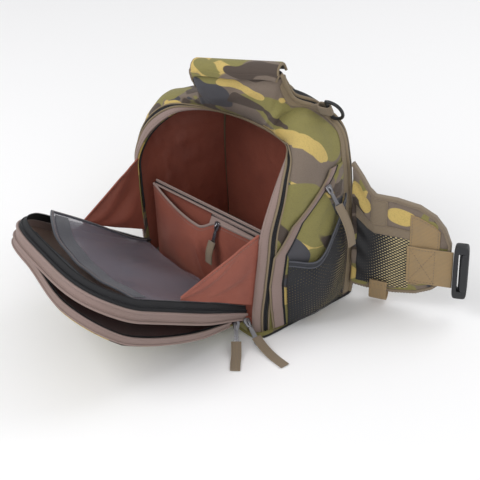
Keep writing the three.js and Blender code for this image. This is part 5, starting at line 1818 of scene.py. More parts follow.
@dataclass
class SidePockets:
    """A zipped pocket on each side with its trim, and the net pocket over the right one."""

    body: BodyForm
    bench: Bench
    top_row: float = 5.2
    trim_share: float = 0.09
    puff: float = 12.0
    back_share: float = 0.91
    net_puff: float = 15.0
    net_wall: float = 1.2
    hem_width: float = 8.0
    slump_lift: float = 0.7
    trim_lift: float = GAP + 2.1
    zip_shares: tuple[float, ...] = (0.17, 0.15, 0.105, 0.115, 0.265, 0.67, 0.9)

    def zip_share(self, row: Array) -> Array:
        """How far back the zip line lies at a row."""
        return np.interp(row, np.arange(len(self.zip_shares)), self.zip_shares)

    def lift(self, row: Array, q: Array) -> Array:
        """Height of the pocket's panel over the cloth: swollen in its middle."""
        swell = self.puff * arch(q, 0.8) * arch(mix(0.03, 0.98, row / self.top_row), 0.8)
        return GAP + 0.4 + swell

    def point(self, side: int, row: Array, q: Array, lift: Array) -> Array:
        """A point of the panel: q from the trim to the back edge."""
        front = self.zip_share(row) + self.trim_share + 0.012
        v = mix(front, np.maximum(self.back_share, front + 0.04), q)
        return self.body.over(side, row, v, lift)

    def trims(self, name: str, side: int) -> None:
        """The trim band beside the zip, with piping, coil and stitches."""
        row, s = np.meshgrid(np.linspace(0.06, self.top_row, 180), lipped(10, 0.1))
        v = self.zip_share(row) + s * self.trim_share
        dome = 0.9 * np.sqrt(np.maximum(0, 1 - (2 * s - 1) ** 2))
        top = self.body.over(side, row, v, self.trim_lift + 0.8 + dome)
        low = self.body.over(side, row, v, self.trim_lift)
        band = sheet_piece(f"side_band_{name}", top, low, 0.9)
        self.bench.dress(band, "trim_band", Slot.TAUPE, [f"side_trim_{name}"])
        line = np.linspace(0.06, self.top_row, 240)
        edges = (("outer", -0.01, 1.2, "bound_edge"), ("inner", 0.102, 0.9, "zip_tape"))
        for tag, place, radius, finish in edges:
            at = self.zip_share(line) + place
            route = self.body.over(side, line, at, self.trim_lift + 0.5)
            up = self.body.over(side, line, at, self.trim_lift + 1.5) - route
            slot = Slot.TAUPE if tag == "outer" else Slot.BLACK
            self.bench.cord(f"side_piping_{name}_{tag}", route, up, (8, radius), finish, slot)
        at = self.zip_share(line) + self.trim_share * 1.02
        route = self.body.over(side, line, at, self.trim_lift + 1.0)
        up = self.body.over(side, line, at, self.trim_lift + 2.0) - route
        self.bench.zip(f"side_coil_{name}", route, up, 2.6)
        for tag, place in (("a", 0.17), ("b", 0.8)):
            at = self.zip_share(line) + self.trim_share * place
            route = self.body.over(side, line, at, self.trim_lift + 1.4)
            up = self.body.over(side, line, at, self.trim_lift + 2.4) - route
            self.bench.sew(f"side_thread_{name}_{tag}", route, up, "thread_rose")

    def panel(self, name: str, side: int) -> None:
        """The pocket's cloth, swollen, with folds that run down from its top."""
        row, q = np.meshgrid(np.linspace(0.06, self.top_row, 150), np.linspace(0, 1, 90))
        under = 0.0 if side > 0 else self.slump_lift
        base = self.lift(row, q) + under
        marks = (
            Crease((4.9, 0.8), (2.2, 0.35), 0.09, 2.4),
            Crease((4.7, 0.62), (2.6, 0.16), 0.07, -2.0),
            Crease((3.9, 0.95), (1.2, 0.7), 0.08, 2.0),
            Crease((2.2, 0.9), (0.3, 0.4), 0.09, -1.6),
        )
        free = arch(q, 0.6) * arch(row / self.top_row, 0.5)
        uneven = creased(marks, row, q)
        uneven = (uneven + Waves(41 + side, 50, 14, 0.8).at(self.point(side, row, q, base))) * free
        face = base + np.maximum(uneven, -1.2) * 0.55
        top = self.point(side, row, q, face + self.body.cloth_wall)
        low = self.point(side, row, q, face)
        made = sheet_piece(f"side_panel_{name}", top, low, 0.8)
        self.bench.dress(made, "camouflage", Slot.CAMO, [f"side_pocket_{name}"])

    def net_point(self, p: Array, q: Array, extra: Array) -> Array:
        """A point of the net: p from its foot to its hem, q from front to back."""
        hem = 2.6 - 0.2 * ease(q / 0.3) + 1.4 * ease((q - 0.3) / 0.5)
        row = mix(0.06, hem, p)
        swell = self.net_puff * arch(mix(0.04, 0.97, q), 0.7) * arch(mix(0.02, 0.9, p), 0.8)
        lift = self.lift(row, q) + self.body.cloth_wall + 2 * GAP + swell + extra
        return self.point(1, row, mix(0.02, 0.98, q), lift)

    def net(self) -> None:
        """The net pocket and its elastic hem, gathered a little."""
        q, p = np.meshgrid(np.linspace(0, 1, 130), np.linspace(0, 1, 110))
        ripple = 0.7 * np.sin(26 * q + 3 * p) * p**2 * arch(q, 0.5)
        low = self.net_point(p, q, ripple + 0.2)
        high = self.net_point(p, q, ripple + 0.65)
        made = sheet_piece("net_cloth", high, low)
        self.bench.dress(made, "net_black", Slot.BLACK, ["mesh_pocket"])
        self.bench.cloth(made, (low + high) / 2, "hung", ["side_panel_right"])
        q, s = np.meshgrid(np.linspace(0, 1, 150), lipped(10, 0.1))
        ripple = 0.5 * np.sin(60 * q) * (1 - s) * arch(q, 0.5)
        rise = np.stack([0 * s, 0 * s, GAP + s * self.hem_width], -1)
        one = np.ones_like(q)
        top = self.net_point(one, q, self.net_wall + 0.6 + ripple) + rise
        low = self.net_point(one, q, 0.0 * q) + rise
        hem = sheet_piece("net_hem_band", top, low, 0.8)
        self.bench.dress(hem, "elastic", Slot.BLACK, ["mesh_hem"])
        line = np.linspace(0, 1, 160)
        ends = np.ones_like(line)
        for tag, height in (("upper", 0.92), ("lower", 0.12)):
            raised = vec(0, 0, GAP + height * self.hem_width)
            route = self.net_point(ends, line, self.net_wall + 0.7 + 0 * line) + raised
            up = self.net_point(ends, line, 3.0 + 0 * line) - self.net_point(ends, line, 0 * line)
            self.bench.cord(f"net_hem_cord_{tag}", route, up, (8, 0.95), "film_edge", Slot.BLACK)

    def build(self) -> None:
        """Builds both sides and the net."""
        for name, side in (("right", 1), ("left", -1)):
            self.trims(name, side)
            self.panel(name, side)
        self.net()


@dataclass
class Wings:
    """The two padded waist wings with bindings, patches, mesh, belt webbing and buckle halves."""

    body: BodyForm
    bench: Bench
    length: float = 120.0
    top: float = 148.0
    bottom: float = 20.0
    pad: float = 7.0
    angle: float = 29.0
    bend: float = 7.0
    webbing_wall: float = 1.8
    belt_width: float = 50.0
    belt_low: float = 41.0
    buckle_width: float = 72.0
    buckle_depth: float = 18.0
    buckle_thickness: float = 13.0
    outline: tuple[tuple[float, float, float], ...] = (
        (0.0, 0.015, 1.3),
        (0.1, 0.005, 1.17),
        (0.17, 0.0, 1.06),
        (0.24, 0.0, 1.0),
        (0.45, 0.0, 0.995),
        (0.68, 0.03, 0.955),
        (0.84, 0.1, 0.87),
        (0.94, 0.19, 0.75),
        (1.0, 0.31, 0.6),
    )

    def __post_init__(self) -> None:
        """Finds the wings' root on the back edge and their directions."""
        root = self.body.back_points[2]
        self.root = vec(root[0] + self.body.trim_top + self.pad * 0.2, root[1], 0)
        turn = math.radians(self.angle)
        self.way = vec(math.cos(turn), math.sin(turn), 0)
        self.out = vec(self.way[1], -self.way[0], 0)

    def line(self, a: Array, column: int) -> Array:
        """Height of the lower or upper edge along the wing, by the table's column."""
        table = np.array(self.outline)
        share = np.interp(np.minimum(a, 1), table[:, 0], table[:, column])
        return self.bottom + (self.top - self.bottom) * share

    def point(self, side: int, a: Array, b: Array, lift: Array) -> Array:
        """A point of a wing: a along, b from its lower to its upper edge, lift to the front."""
        a, b, lift = np.broadcast_arrays(*(np.asarray(k, float) for k in (a, b, lift)))
        height = mix(self.line(a, 1), self.line(a, 2), b)
        point = self.root + self.way * (a * self.length)[..., None]
        point = point + self.out * (lift - self.bend * a * a)[..., None]
        point[..., 2] = height
        if side < 0:
            point = point * vec(-1, 1, 1)
        return self.body.turned(point)

    def half(self, a: Array, b: Array) -> Array:
        """Half the pad's thickness, less at the edges and the tip."""
        round_off = np.sqrt(np.maximum(0, 1 - (2 * b - 1) ** 4)) * (1 - np.minimum(a, 1) ** 8)
        return self.pad / 2 * mix(0.55, 1, round_off)

    def puffed(self, side: int, a: Array, b: Array) -> Array:
        """Extra height of the pad's front: soft folds where it gathers at its root."""
        gather = ease((0.3 - a) / 0.3) * (1.6 * np.sin(34 * b + 9 * a) + 1.2)
        return gather + 0.5 * Waves(51 + side, 40, 12, 0.9).at(self.point(side, a, b, 0 * a))

    def layer(
        self, side: int, name: str, spans: tuple[float, ...], lift: float, wall: float, lip: float = 0.6
    ) -> bpy.types.Object:
        """A flat piece sewn on the pad's front.

        Args:
            side: 1 for the right wing, -1 for the left.
            name: the piece's name.
            spans: first and last a, first and last b.
            lift: its clearance over the pad.
            wall: its thickness.
            lip: rounding of its edge.

        Returns:
            The object.
        """
        a, b = np.meshgrid(np.linspace(spans[0], spans[1], 70), np.linspace(spans[2], spans[3], 60))
        base = self.half(a, b) + self.puffed(side, a, b) + lift
        return sheet_piece(name, self.point(side, a, b, base + wall), self.point(side, a, b, base), lip)

    def frame_route(self, spans: tuple[float, ...], inset: float) -> tuple[Array, Array]:
        """A and b of a closed rectangle inside a span."""
        a0, a1 = spans[0] + inset / self.length, spans[1] - inset / self.length
        db = inset / (self.top - self.bottom)
        b0, b1 = spans[2] + db, spans[3] - db
        t = np.linspace(0, 1, 40)
        a = np.concatenate([mix(a0, a1, t), np.full(40, a1), mix(a1, a0, t), np.full(40, a0)])
        b = np.concatenate([np.full(40, b0), mix(b0, b1, t), np.full(40, b1), mix(b1, b0, t)])
        return a, b

    def sew_on(self, side: int, name: str, a: Array, b: Array, lift: float) -> None:
        """Stitches on a wing along a and b."""
        height = self.half(a, b) + self.puffed(side, a, b) + lift
        route = self.point(side, a, b, height)
        up = self.point(side, a, b, height + 1) - route
        self.bench.sew(name, route, up)

    def cushion(self, name: str, side: int) -> None:
        """The padded cloth of a wing and the binding round its edge."""
        a, b = np.meshgrid(lipped(80, 0.03), lipped(70, 0.03))
        half = self.half(a, b)
        top = self.point(side, a, b, half + self.puffed(side, a, b))
        low = self.point(side, a, b, -half)
        pad = sheet_piece(f"wing_pad_{name}", top, low, 2.0)
        self.bench.dress(settled(pad, 1.0, 0.5), "camouflage", Slot.CAMO, [f"wing_{name}"])
        t = np.linspace(0, 1, 160)
        a = np.concatenate([t, np.ones(30), t[::-1]])
        b = np.concatenate([np.ones(160), np.linspace(0.97, 0.03, 30), np.zeros(160)])
        edge = self.point(side, a, b, 0 * a)
        run = np.gradient(edge, axis=0)
        front = self.point(side, a, b, 0 * a + 1) - edge
        out = unit(np.cross(run, front)) * side
        kernel = np.ones(9) / 9
        pads = [np.pad(out[:, k], 4, mode="edge") for k in range(3)]
        out = unit(np.stack([np.convolve(p, kernel, "valid") for p in pads], -1))
        spread = self.pad / 2 + 0.9
        box = soft_box(22, 3.4)
        middle = edge + out * 0.9
        across, outward = box[None, :, :1], box[None, :, 1:]
        rings = middle[:, None] + front[:, None] * across * spread + out[:, None] * outward * 2.2
        bound = tube_piece(f"wing_edge_{name}", rings)
        self.bench.dress(bound, "strap_khaki", Slot.WEBBING, [f"wing_binding_{name}"])
        self.bench.sew(f"wing_edge_thread_{name}", edge + front * (spread + 0.1) - out * 0.4, front)

    def belt(self, side: int, name: str) -> None:
        """The belt webbing over the patch and half a buckle at its end."""
        end = 1 + (2.4 + 8 * GAP) / self.length
        lift = self.pad / 2 + 2 * GAP + self.webbing_wall

        def place(a: Array, v: Array, extra: Array | float) -> Array:
            """Point of the webbing: v across it, at one height above the floor."""
            low, high = self.line(a, 1), self.line(a, 2)
            share = (self.belt_low + v * self.belt_width - low) / (high - low)
            return self.point(side, a, share, lift + extra)

        a, v = np.meshgrid(np.linspace(0.58, end, 70), lipped(20, 0.04))
        patch = self.puffed(side, a, np.full_like(a, 0.5)) * ease((1 - a) / 0.2)
        belt = sheet_piece(f"belt_{name}", place(a, v, self.webbing_wall + patch), place(a, v, patch), 0.8)
        self.bench.dress(belt, "strap_tan", Slot.WEBBING, [f"belt_webbing_{name}"])
        box_a = np.array([0.61, 0.86])
        t = np.linspace(0, 1, 40)
        lines = {
            "rise": (mix(*box_a, t), mix(0.06, 0.94, t)),
            "fall": (mix(*box_a, t), mix(0.94, 0.06, t)),
            "start": (np.full(40, box_a[0]), mix(0.06, 0.94, t)),
            "end": (np.full(40, box_a[1]), mix(0.06, 0.94, t)),
            "upper": (mix(*box_a, t), np.full(40, 0.94)),
            "lower": (mix(*box_a, t), np.full(40, 0.06)),
        }
        for tag, (la, lv) in lines.items():
            puff = self.puffed(side, la, np.full_like(la, 0.5)) * ease((1 - la) / 0.2)
            extra = self.webbing_wall + 0.15 + puff
            route = place(la, lv, extra)
            self.bench.sew(f"belt_thread_{name}_{tag}", route, place(la, lv, extra + 1) - route)
        one = np.ones(1)
        at = place(end * one, 0.5 * one, self.webbing_wall / 2)[0]
        rise = (place(end * one, one, 0.0) - place(end * one, 0 * one, 0.0))[0]
        way = at - place((end - 0.1) * one, 0.5 * one, self.webbing_wall / 2)[0]
        way = unit(way - rise * (way @ rise) / (rise @ rise))
        at = at + way * (self.buckle_depth / 2 + 1.2 * GAP)
        self.buckle(side, at, way, unit(rise))

    def buckle(self, side: int, at: Array, way: Array, rise: Array) -> None:
        """A buckle half: a rounded frame round a slot, a bar across it, and the prongs on the left.

        Args:
            side: 1 for the receiving half, -1 for the one with prongs.
            at: its middle.
            way: along the belt.
            rise: across the belt.
        """
        place = np.stack([way, rise, np.cross(way, rise), at])
        outer = soft_box(72, 7) * np.array([self.buckle_depth, self.buckle_width]) / 2
        inner = soft_box(72, 9) * np.array([3.5, self.belt_width / 2 + 1])
        node = "buckle_female" if side > 0 else "buckle_male"
        thick = self.buckle_thickness * (1.0 if side > 0 else 0.7)
        made = plate_piece(f"{node}_frame", outer, inner, thick, place)
        self.bench.dress(made, "moulded_black", Slot.PLASTIC, [node])
        bar = np.linspace(-1, 1, 30)[:, None] * (self.belt_width / 2) * rise + at
        self.bench.cord(f"{node}_bar", bar, way, (14, 2.0), "moulded_black", Slot.PLASTIC)
        if side > 0:
            for tag, lift in (("front", 1), ("back", -1)):
                grip = soft_box(48, 5) * np.array([4.2, self.buckle_width * 0.36])
                rings = np.stack(
                    [
                        np.c_[grip * s, np.full(48, lift * (thick / 2 - 0.3 + h))] @ place[:3] + at + way * 4
                        for s, h in ((1, 0), (0.98, 0.6), (0.9, 1.0), (0.2, 1.0))
                    ]
                )
                pad = tube_piece(f"{node}_grip_{tag}", rings)
                self.bench.dress(pad, "moulded_black", Slot.PLASTIC)
            return
        for k in range(3):
            middle = (k - 1) * self.buckle_width / 3
            t = np.linspace(0, 1, 20)[:, None]
            route = at + rise * middle + way * (self.buckle_depth / 2 - 2 + t * 15.6)
            size = np.concatenate([np.linspace(5.6, 4.0, 20)[:, None], np.full((20, 1), thick * 0.32)], -1)
            box = soft_box(20, 4.0)[None] * size[:, None]
            rings = route[:, None] + rise * box[..., :1] + place[2] * box[..., 1:]
            prong = tube_piece(f"{node}_prong_{k}", rings)
            self.bench.dress(prong, "moulded_black", Slot.PLASTIC)

    def loop(self) -> None:
        """The webbing loop folded under the right wing's lower edge."""
        reach = self.pad / 2 + 0.6 + GAP + self.webbing_wall / 2 + 1.4
        turns = ((34, 1), (17, 1), (8, 0.8), (4.6, 0), (8, -0.8), (17, -1), (30, -1))
        points = [self.point(1, 0.3, 0.0, reach * lift) * vec(1, 1, 0) + vec(0, 0, z) for z, lift in turns]
        route = Curve(points).at(np.linspace(0, 1, 60))
        box = soft_box(20, 5.0) * np.array([11.0, self.webbing_wall / 2])
        strap = tube_piece("wing_loop_webbing", carried(route, self.way, box))
        self.bench.dress(strap, "strap_tan", Slot.WEBBING, ["wing_loop"])
        line = np.linspace(-9, 9, 20)[:, None] * self.way
        for tag, z in (("a", 29), ("b", 22)):
            at = self.point(1, 0.3, 0.0, reach + self.webbing_wall / 2) * vec(1, 1, 0) + vec(0, 0, z)
            self.bench.sew(f"wing_loop_thread_{tag}", at + line, np.broadcast_to(self.out, line.shape))

    def build(self) -> None:
        """Builds both wings, then the right one's mesh, band and loop."""
        for name, side in (("right", 1), ("left", -1)):
            self.cushion(name, side)
            spans = (0.6, 0.9, 0.1, 0.9)
            patch = self.layer(side, f"wing_patch_cloth_{name}", spans, GAP, self.webbing_wall * 0.6)
            self.bench.dress(patch, "strap_tan", Slot.WEBBING, [f"wing_patch_{name}"])
            a, b = self.frame_route(spans, 2.5)
            self.sew_on(side, f"wing_patch_thread_{name}", a, b, GAP + self.webbing_wall * 0.6 + 0.2)
            self.belt(side, name)
        mesh = self.layer(1, "wing_mesh_cloth", (0.06, 0.6, 0.05, 0.62), 0.2, 0.8)
        self.bench.dress(mesh, "net_over_cream", Slot.BLACK, ["wing_mesh"])
        band = self.layer(1, "wing_band_webbing", (0.05, 0.6, 0.62, 0.72), 0.5, 1.3)
        self.bench.dress(band, "strap_khaki", Slot.WEBBING, ["wing_band"])
        line = np.linspace(0.06, 0.595, 80)
        for tag, height in (("low", 0.63), ("high", 0.712)):
            self.sew_on(1, f"wing_band_thread_{tag}", line, np.full_like(line, height), 2.0)
        tab = self.layer(1, "wing_tab_webbing", (0.2, 0.37, 0.7, 0.98), 0.4, 1.1)
        self.bench.dress(tab, "strap_khaki", Slot.WEBBING)
        a, b = self.frame_route((0.2, 0.37, 0.7, 0.98), 1.8)
        self.sew_on(1, "wing_tab_thread", a, b, 1.7)
        self.loop()


@dataclass
class Strap:
    """The shoulder strap down the back: pad, webbing through an adjuster, sewn low at a corner."""

    body: BodyForm
    bench: Bench
    width: float = 62.0
    pad: float = 9.0
    gap: float = 1.7
    webbing_wall: float = 1.8
    adjuster_share: float = 0.62
    adjuster_half: float = 9.0
    stations: tuple[tuple[float, float], ...] = ((0.42, 0.3), (0.56, 0.38), (0.72, 0.46), (0.9, 0.5))
    anchor: tuple[float, float] = (0.08, 0.2)

    def across(self, height: Array) -> Array:
        """The back's width at a height share."""
        zero = np.zeros_like(height)
        ends = self.body.back_face(zero, height), self.body.back_face(zero + 1, height)
        return np.linalg.norm(ends[0] - ends[1], axis=-1)

    def ribbon(self, route: Callable[[Array], tuple[Array, Array]], width: float) -> Surface:
        """Surface of a band on the back whose middle follows a route of side and height shares."""

        def face(u: Array, v: Array) -> Array:
            """u across the band, v along it."""
            side, height = route(v)
            return self.body.back_face(side + (u - 0.5) * width / self.across(height), height)

        return face

    def tail(self, first: float, last: float) -> Callable[[Array], tuple[Array, Array]]:
        """Route of the webbing between two shares from the anchor to the pad's foot."""
        end = self.stations[0]

        def route(v: Array) -> tuple[Array, Array]:
            """Side and height shares, straight."""
            t = mix(first, last, v)
            return mix(self.anchor[1], end[1], t), mix(self.anchor[0], end[0], t)

        return route

    def build(self) -> None:
        """Builds the pad with its binding and channels, the webbing and the adjuster."""
        curve = Curve([vec(side, height, 0) for height, side in self.stations])

        def middle(v: Array) -> tuple[Array, Array]:
            """Side and height shares along the curved pad."""
            at = curve.at(v)
            return at[..., 0], at[..., 1]

        face = self.ribbon(middle, self.width)
        u, v = np.meshgrid(lipped(40, 0.05), lipped(110, 0.03))
        base = self.body.back_gap + self.body.pad + self.gap + 0.9
        shaped = 1 - 0.5 * (2 * u - 1) ** 4
        channel = sum(np.exp(-(((u - c) / 0.03) ** 2)) for c in (0.3, 0.7))
        top = lifted(face, u, v, base + (self.pad - 1.6) * shaped - 1.5 * channel * arch(v, 0.3))
        pad = sheet_piece("strap_pad", top, lifted(face, u, v, base), 3.2)
        self.bench.dress(settled(pad, 1.5, 0.7), "spacer_black", Slot.BLACK, ["shoulder_strap"])
        t = np.linspace(0, 1, 200)
        for tag, side in (("right", 0.99), ("left", 0.01)):
            at = np.full_like(t, side)
            route = lifted(face, at, t, base + 2.2)
            up = normals(face, at, t)
            cord = tube_piece(f"strap_edge_{tag}", carried(route, up, disc(10) * np.array([2.5, 1.7])))
            self.bench.dress(cord, "bound_edge", Slot.TAUPE)
        lift = self.body.back_gap + self.body.pad + GAP + 0.9
        rise = self.body.back_face(np.array([0.3, 0.3]), np.array([self.stations[0][0], self.anchor[0]]))
        reach = (self.adjuster_half + 5) / float(rise[0][2] - rise[1][2])
        width = self.width * 0.6
        for tag, first, last in (
            ("lower", 0.0, self.adjuster_share - reach),
            ("upper", self.adjuster_share + reach, 0.98),
        ):
            strip = self.ribbon(self.tail(first, last), width)
            u, v = np.meshgrid(lipped(20, 0.05), np.linspace(0, 1, 60))
            top, low = lifted(strip, u, v, lift + self.webbing_wall), lifted(strip, u, v, lift)
            made = sheet_piece(f"strap_tail_{tag}", top, low, 0.8)
            node = f"strap_webbing_{tag}"
            self.bench.dress(made, "strap_khaki", Slot.WEBBING, [node])
            for side in (0.06, 0.94):
                at = np.full(60, side)
                run = np.linspace(0.02, 0.98, 60)
                name = f"strap_tail_thread_{tag}_{'a' if side < 0.5 else 'b'}"
                route = lifted(strip, at, run, lift + self.webbing_wall + 0.1)
                self.bench.sew(name, route, normals(strip, at, run))
        self.adjuster(lift, width, reach)

    def adjuster(self, lift: float, width: float, reach: float) -> None:
        """The adjuster frame with its middle bar, and the webbing that passes over it."""
        strip = self.ribbon(self.tail(0, 1), width)
        place = [np.array([k]) for k in (0.5, self.adjuster_share)]
        up = normals(strip, *place)[0]
        at = strip(*place)[0] + up * (lift + 1.2)
        way = (strip(place[0], place[1] + 0.1) - strip(place[0], place[1] - 0.1))[0]
        side = (strip(place[0] + 0.1, place[1]) - strip(place[0] - 0.1, place[1]))[0]
        way = unit(way)
        side = unit(side - way * (side @ way))
        frame_axes = np.stack([way, side, np.cross(way, side), at])
        outer = soft_box(72, 8) * np.array([self.adjuster_half, width / 2 + 5])
        inner = soft_box(72, 9) * np.array([self.adjuster_half - 4.5, width / 2 + 1])
        made = plate_piece("adjuster_frame", outer, inner, 4.0, frame_axes)
        self.bench.dress(made, "moulded_black", Slot.PLASTIC, ["strap_adjuster"])
        t = np.linspace(-1, 1, 50)[:, None]
        route = at + way * t * (self.adjuster_half + 5) + up * (2.6 * np.exp(-((t / 0.45) ** 2)) - 0.2)
        box = soft_box(24, 6.0) * np.array([width / 2 - 0.4, self.webbing_wall / 2])
        over = tube_piece("adjuster_webbing", carried(route, side, box))
        self.bench.dress(over, "strap_khaki", Slot.WEBBING)


@dataclass
class Ring:
    """The D-ring on its webbing loop at the right shoulder."""

    body: BodyForm
    bench: Bench
    row: float = 6.95
    width: float = 34.0
    wire: float = 4.2
    rise: float = 22.0
    loop_width: float = 15.0
    loop_reach: float = 9.0
    webbing_wall: float = 1.8

    def build(self) -> None:
        """Builds the loop round the bar, its stitched root and the ring itself."""
        u, v = np.array([self.body.share(self.row)]), np.array([0.96])
        seam = self.body.surface(u, v)[0]
        up = normals(self.body.surface, u, v)[0]
        bar = unit(vec(-0.1, 0.5, -0.86))
        out = vec(0.85, 0.2, 0.1) + up * 0.25
        out = unit(out - bar * (out @ bar))
        flat = np.cross(out, bar)
        radius = self.wire / 2 + GAP + 0.2
        root = seam + up * (self.body.trim_top + 6.5) + out * (radius + self.webbing_wall + 0.6)
        turn = np.linspace(0, 2 * np.pi, 64, endpoint=False)
        far = ease((np.cos(turn) + 0.15) / 0.3) * self.loop_reach
        way = out * np.cos(turn)[:, None] + flat * np.sin(turn)[:, None]
        route = root + out * far[:, None] + way * (radius + self.webbing_wall / 2)
        box = soft_box(18, 5.0) * np.array([self.loop_width / 2, self.webbing_wall / 2])
        rings = route[:, None] + bar * box[None, :, :1] + way[:, None] * box[None, :, 1:]
        loop = tube_piece("ring_loop_webbing", rings, closed=True)
        self.bench.dress(loop, "strap_khaki", Slot.WEBBING, ["d_ring_loop"])
        under = seam - up * 0.2 - out * 4
        t = np.linspace(0, 1, 24)[:, None]
        leg = mix(root - out * 1.2, under, t) + up * np.sin(np.pi * t) * 1.2
        root_box = soft_box(18, 5.0) * np.array([self.loop_width / 2 - 0.3, 1.6])
        foot = tube_piece("ring_loop_root", carried(leg, bar, root_box))
        self.bench.dress(foot, "strap_khaki", Slot.WEBBING)
        middle = root + out * self.loop_reach
        span = (self.width - self.wire) / 2
        straight = np.stack([np.linspace(-span, span, 30), np.zeros(30)], -1)
        t = np.linspace(0.03, 0.97, 60)
        reach = (self.rise - self.wire) * np.sin(np.pi * t) ** 0.7
        bow = np.stack([span * np.cos(np.pi * t) * 1.06, reach], -1)
        path = np.concatenate([straight, bow])
        route = middle + bar * path[:, :1] + out * path[:, 1:]
        wire = carried(route, flat, disc(16) * self.wire / 2, closed=True)
        ring = tube_piece("ring_wire", wire, closed=True)
        self.bench.dress(ring, "moulded_black", Slot.PLASTIC, ["d_ring"], body="ring")


@dataclass
class Pulls:
    """The zip sliders with metal tabs and webbing pulls."""

    body: BodyForm
    flap: FlapForm
    divider: Divider
    pockets: SidePockets
    bench: Bench
    width: float = 12.0
    slider: float = 12.0
    tab: float = 20.0
    webbing_wall: float = 1.8

    def pull(self, name: str, at: Array, along: Array, up: Array, ends: Sequence[Array]) -> None:
        """One slider: a rounded body, a bridge, a tab with an eye and a folded webbing pull.

        Args:
            name: which zip it is on.
            at: start of the slider.
            along: direction of the slider and tab.
            up: direction away from the zip.
            ends: points that the webbing goes through after the tab.
        """
        run = unit(along)
        lift = unit(up - run * (up @ run))
        side = np.cross(lift, run)
        axes = np.stack([run, side, lift, at + lift])
        half = self.width * 0.42
        t = np.linspace(0, 1, 24)
        size = np.sqrt(np.maximum(0, 1 - (2 * t - 1) ** 6)) * mix(half, half * 0.62, t)
        size = np.maximum(size, 0.5)
        box = soft_box(22, 4.0)[None] * np.stack([size, np.minimum(size, 1.9)], -1)[:, None]
        route = at + run * (t * self.slider)[:, None] + lift * 0.4
        rings = route[:, None] + side * box[..., :1] + lift * box[..., 1:]
        body = tube_piece(f"{name}_slider_body", rings)
        self.bench.dress(body, "zip_metal", Slot.STEEL, [f"{name}_slider"])
        t = np.linspace(0, 1, 24)
        rise = 1.6 + 2.2 * np.sin(np.pi * t)
        arc = at + run * mix(2.5, self.slider - 1, t)[:, None] + lift * rise[:, None]
        self.bench.cord(f"{name}_slider_bridge", arc, side, (10, 0.9), "zip_metal", Slot.STEEL)
        eye = self.slider + self.tab
        turn = np.linspace(0, 2 * np.pi, 72, endpoint=False)
        c, s = np.cos(turn), np.sin(turn)
        reach = self.tab + 6.0
        body_x = np.where(c < 0, c * reach, c * half)
        narrow = mix(1.0, 0.55, ease(-body_x / 9))
        shape = np.sign(s) * np.abs(s) ** 0.35 * half * narrow
        round_y = np.where(c < 0, shape, s * half)
        outer = np.stack([body_x + eye, round_y], -1)
        inner = np.stack([c * half * 0.5 + eye, s * half * 0.5], -1)
        plate = plate_piece(f"{name}_slider_tab", outer, inner, 1.6, axes)
        self.bench.dress(plate, "zip_metal", Slot.STEEL)
        start = at + run * (self.slider + self.tab * 0.72) + lift * (2 + GAP + self.webbing_wall / 2)
        curve = Curve([start, *ends]).at(np.linspace(0, 1, 70))
        box = soft_box(20, 5.0) * np.array([self.width / 2, self.webbing_wall / 2])
        strap = tube_piece(f"{name}_pull_webbing", carried(curve, side, box))
        self.bench.dress(strap, "strap_khaki", Slot.WEBBING, [f"{name}_pull"])
        way = unit(np.gradient(curve, axis=0))
        across = unit(side - way * (way @ side)[:, None])
        top = np.cross(way, across)
        for tag, off in (("a", 0.7), ("b", -0.7)):
            route = curve + across * off * self.width / 2 + top * (self.webbing_wall / 2 + 0.1)
            self.bench.sew(f"{name}_pull_thread_{tag}", route[3:-2], top[3:-2])

    def build(self) -> None:
        """Places the four sliders where the zips end."""
        floor = 0.8 + self.webbing_wall / 2
        x = float(self.body.rim_points[0][0]) - 4.8
        main = vec(x, self.flap.hinge_y - 6.8, self.flap.hinge_z - 3)

        def on_floor(at: Array, dx: float, dy: float, lift: float) -> Array:
            """A point on the floor beside a slider."""
            return vec(at[0] + dx, at[1] + dy, floor + lift)

        self.pull(
            "main",
            main,
            vec(1, -0.1, -0.75),
            vec(0, 0, 1),
            [on_floor(main, 38, -3, 3), on_floor(main, 56, -4, 0.4), on_floor(main, 76, -4, 0)],
        )
        pocket = main + vec(-1.6, -12.5, 1.6)
        self.pull(
            "pocket",
            pocket,
            vec(0.6, -0.5, -0.58),
            vec(0, 0, 1),
            [on_floor(pocket, 30, -25, 2.4), on_floor(pocket, 37, -32, 0.4), on_floor(pocket, 47, -41, 0)],
        )
        place = self.divider.half * 0.26
        inner = vec(place, self.divider.y + 1.8, float(self.divider.top(np.array(place))) - 6)
        self.pull(
            "divider",
            inner,
            vec(0, -0.3, -1),
            vec(0, -1, 0.3),
            [inner + vec(0.5, -15.8, -38), inner + vec(1, -16.8, -52)],
        )
        row = np.array([4.8])
        at = self.pockets.zip_share(row) + self.pockets.trim_share * 0.4
        side = self.body.over(1, row, at, self.pockets.trim_lift + 1.6 + 2 * GAP)[0]
        self.pull(
            "side",
            side,
            vec(0.75, 0.1, -1),
            vec(1, 0, 0.75),
            [side + vec(31, 4, -37), side + vec(37, 5, -51), side + vec(40, 6, -66)],
        )


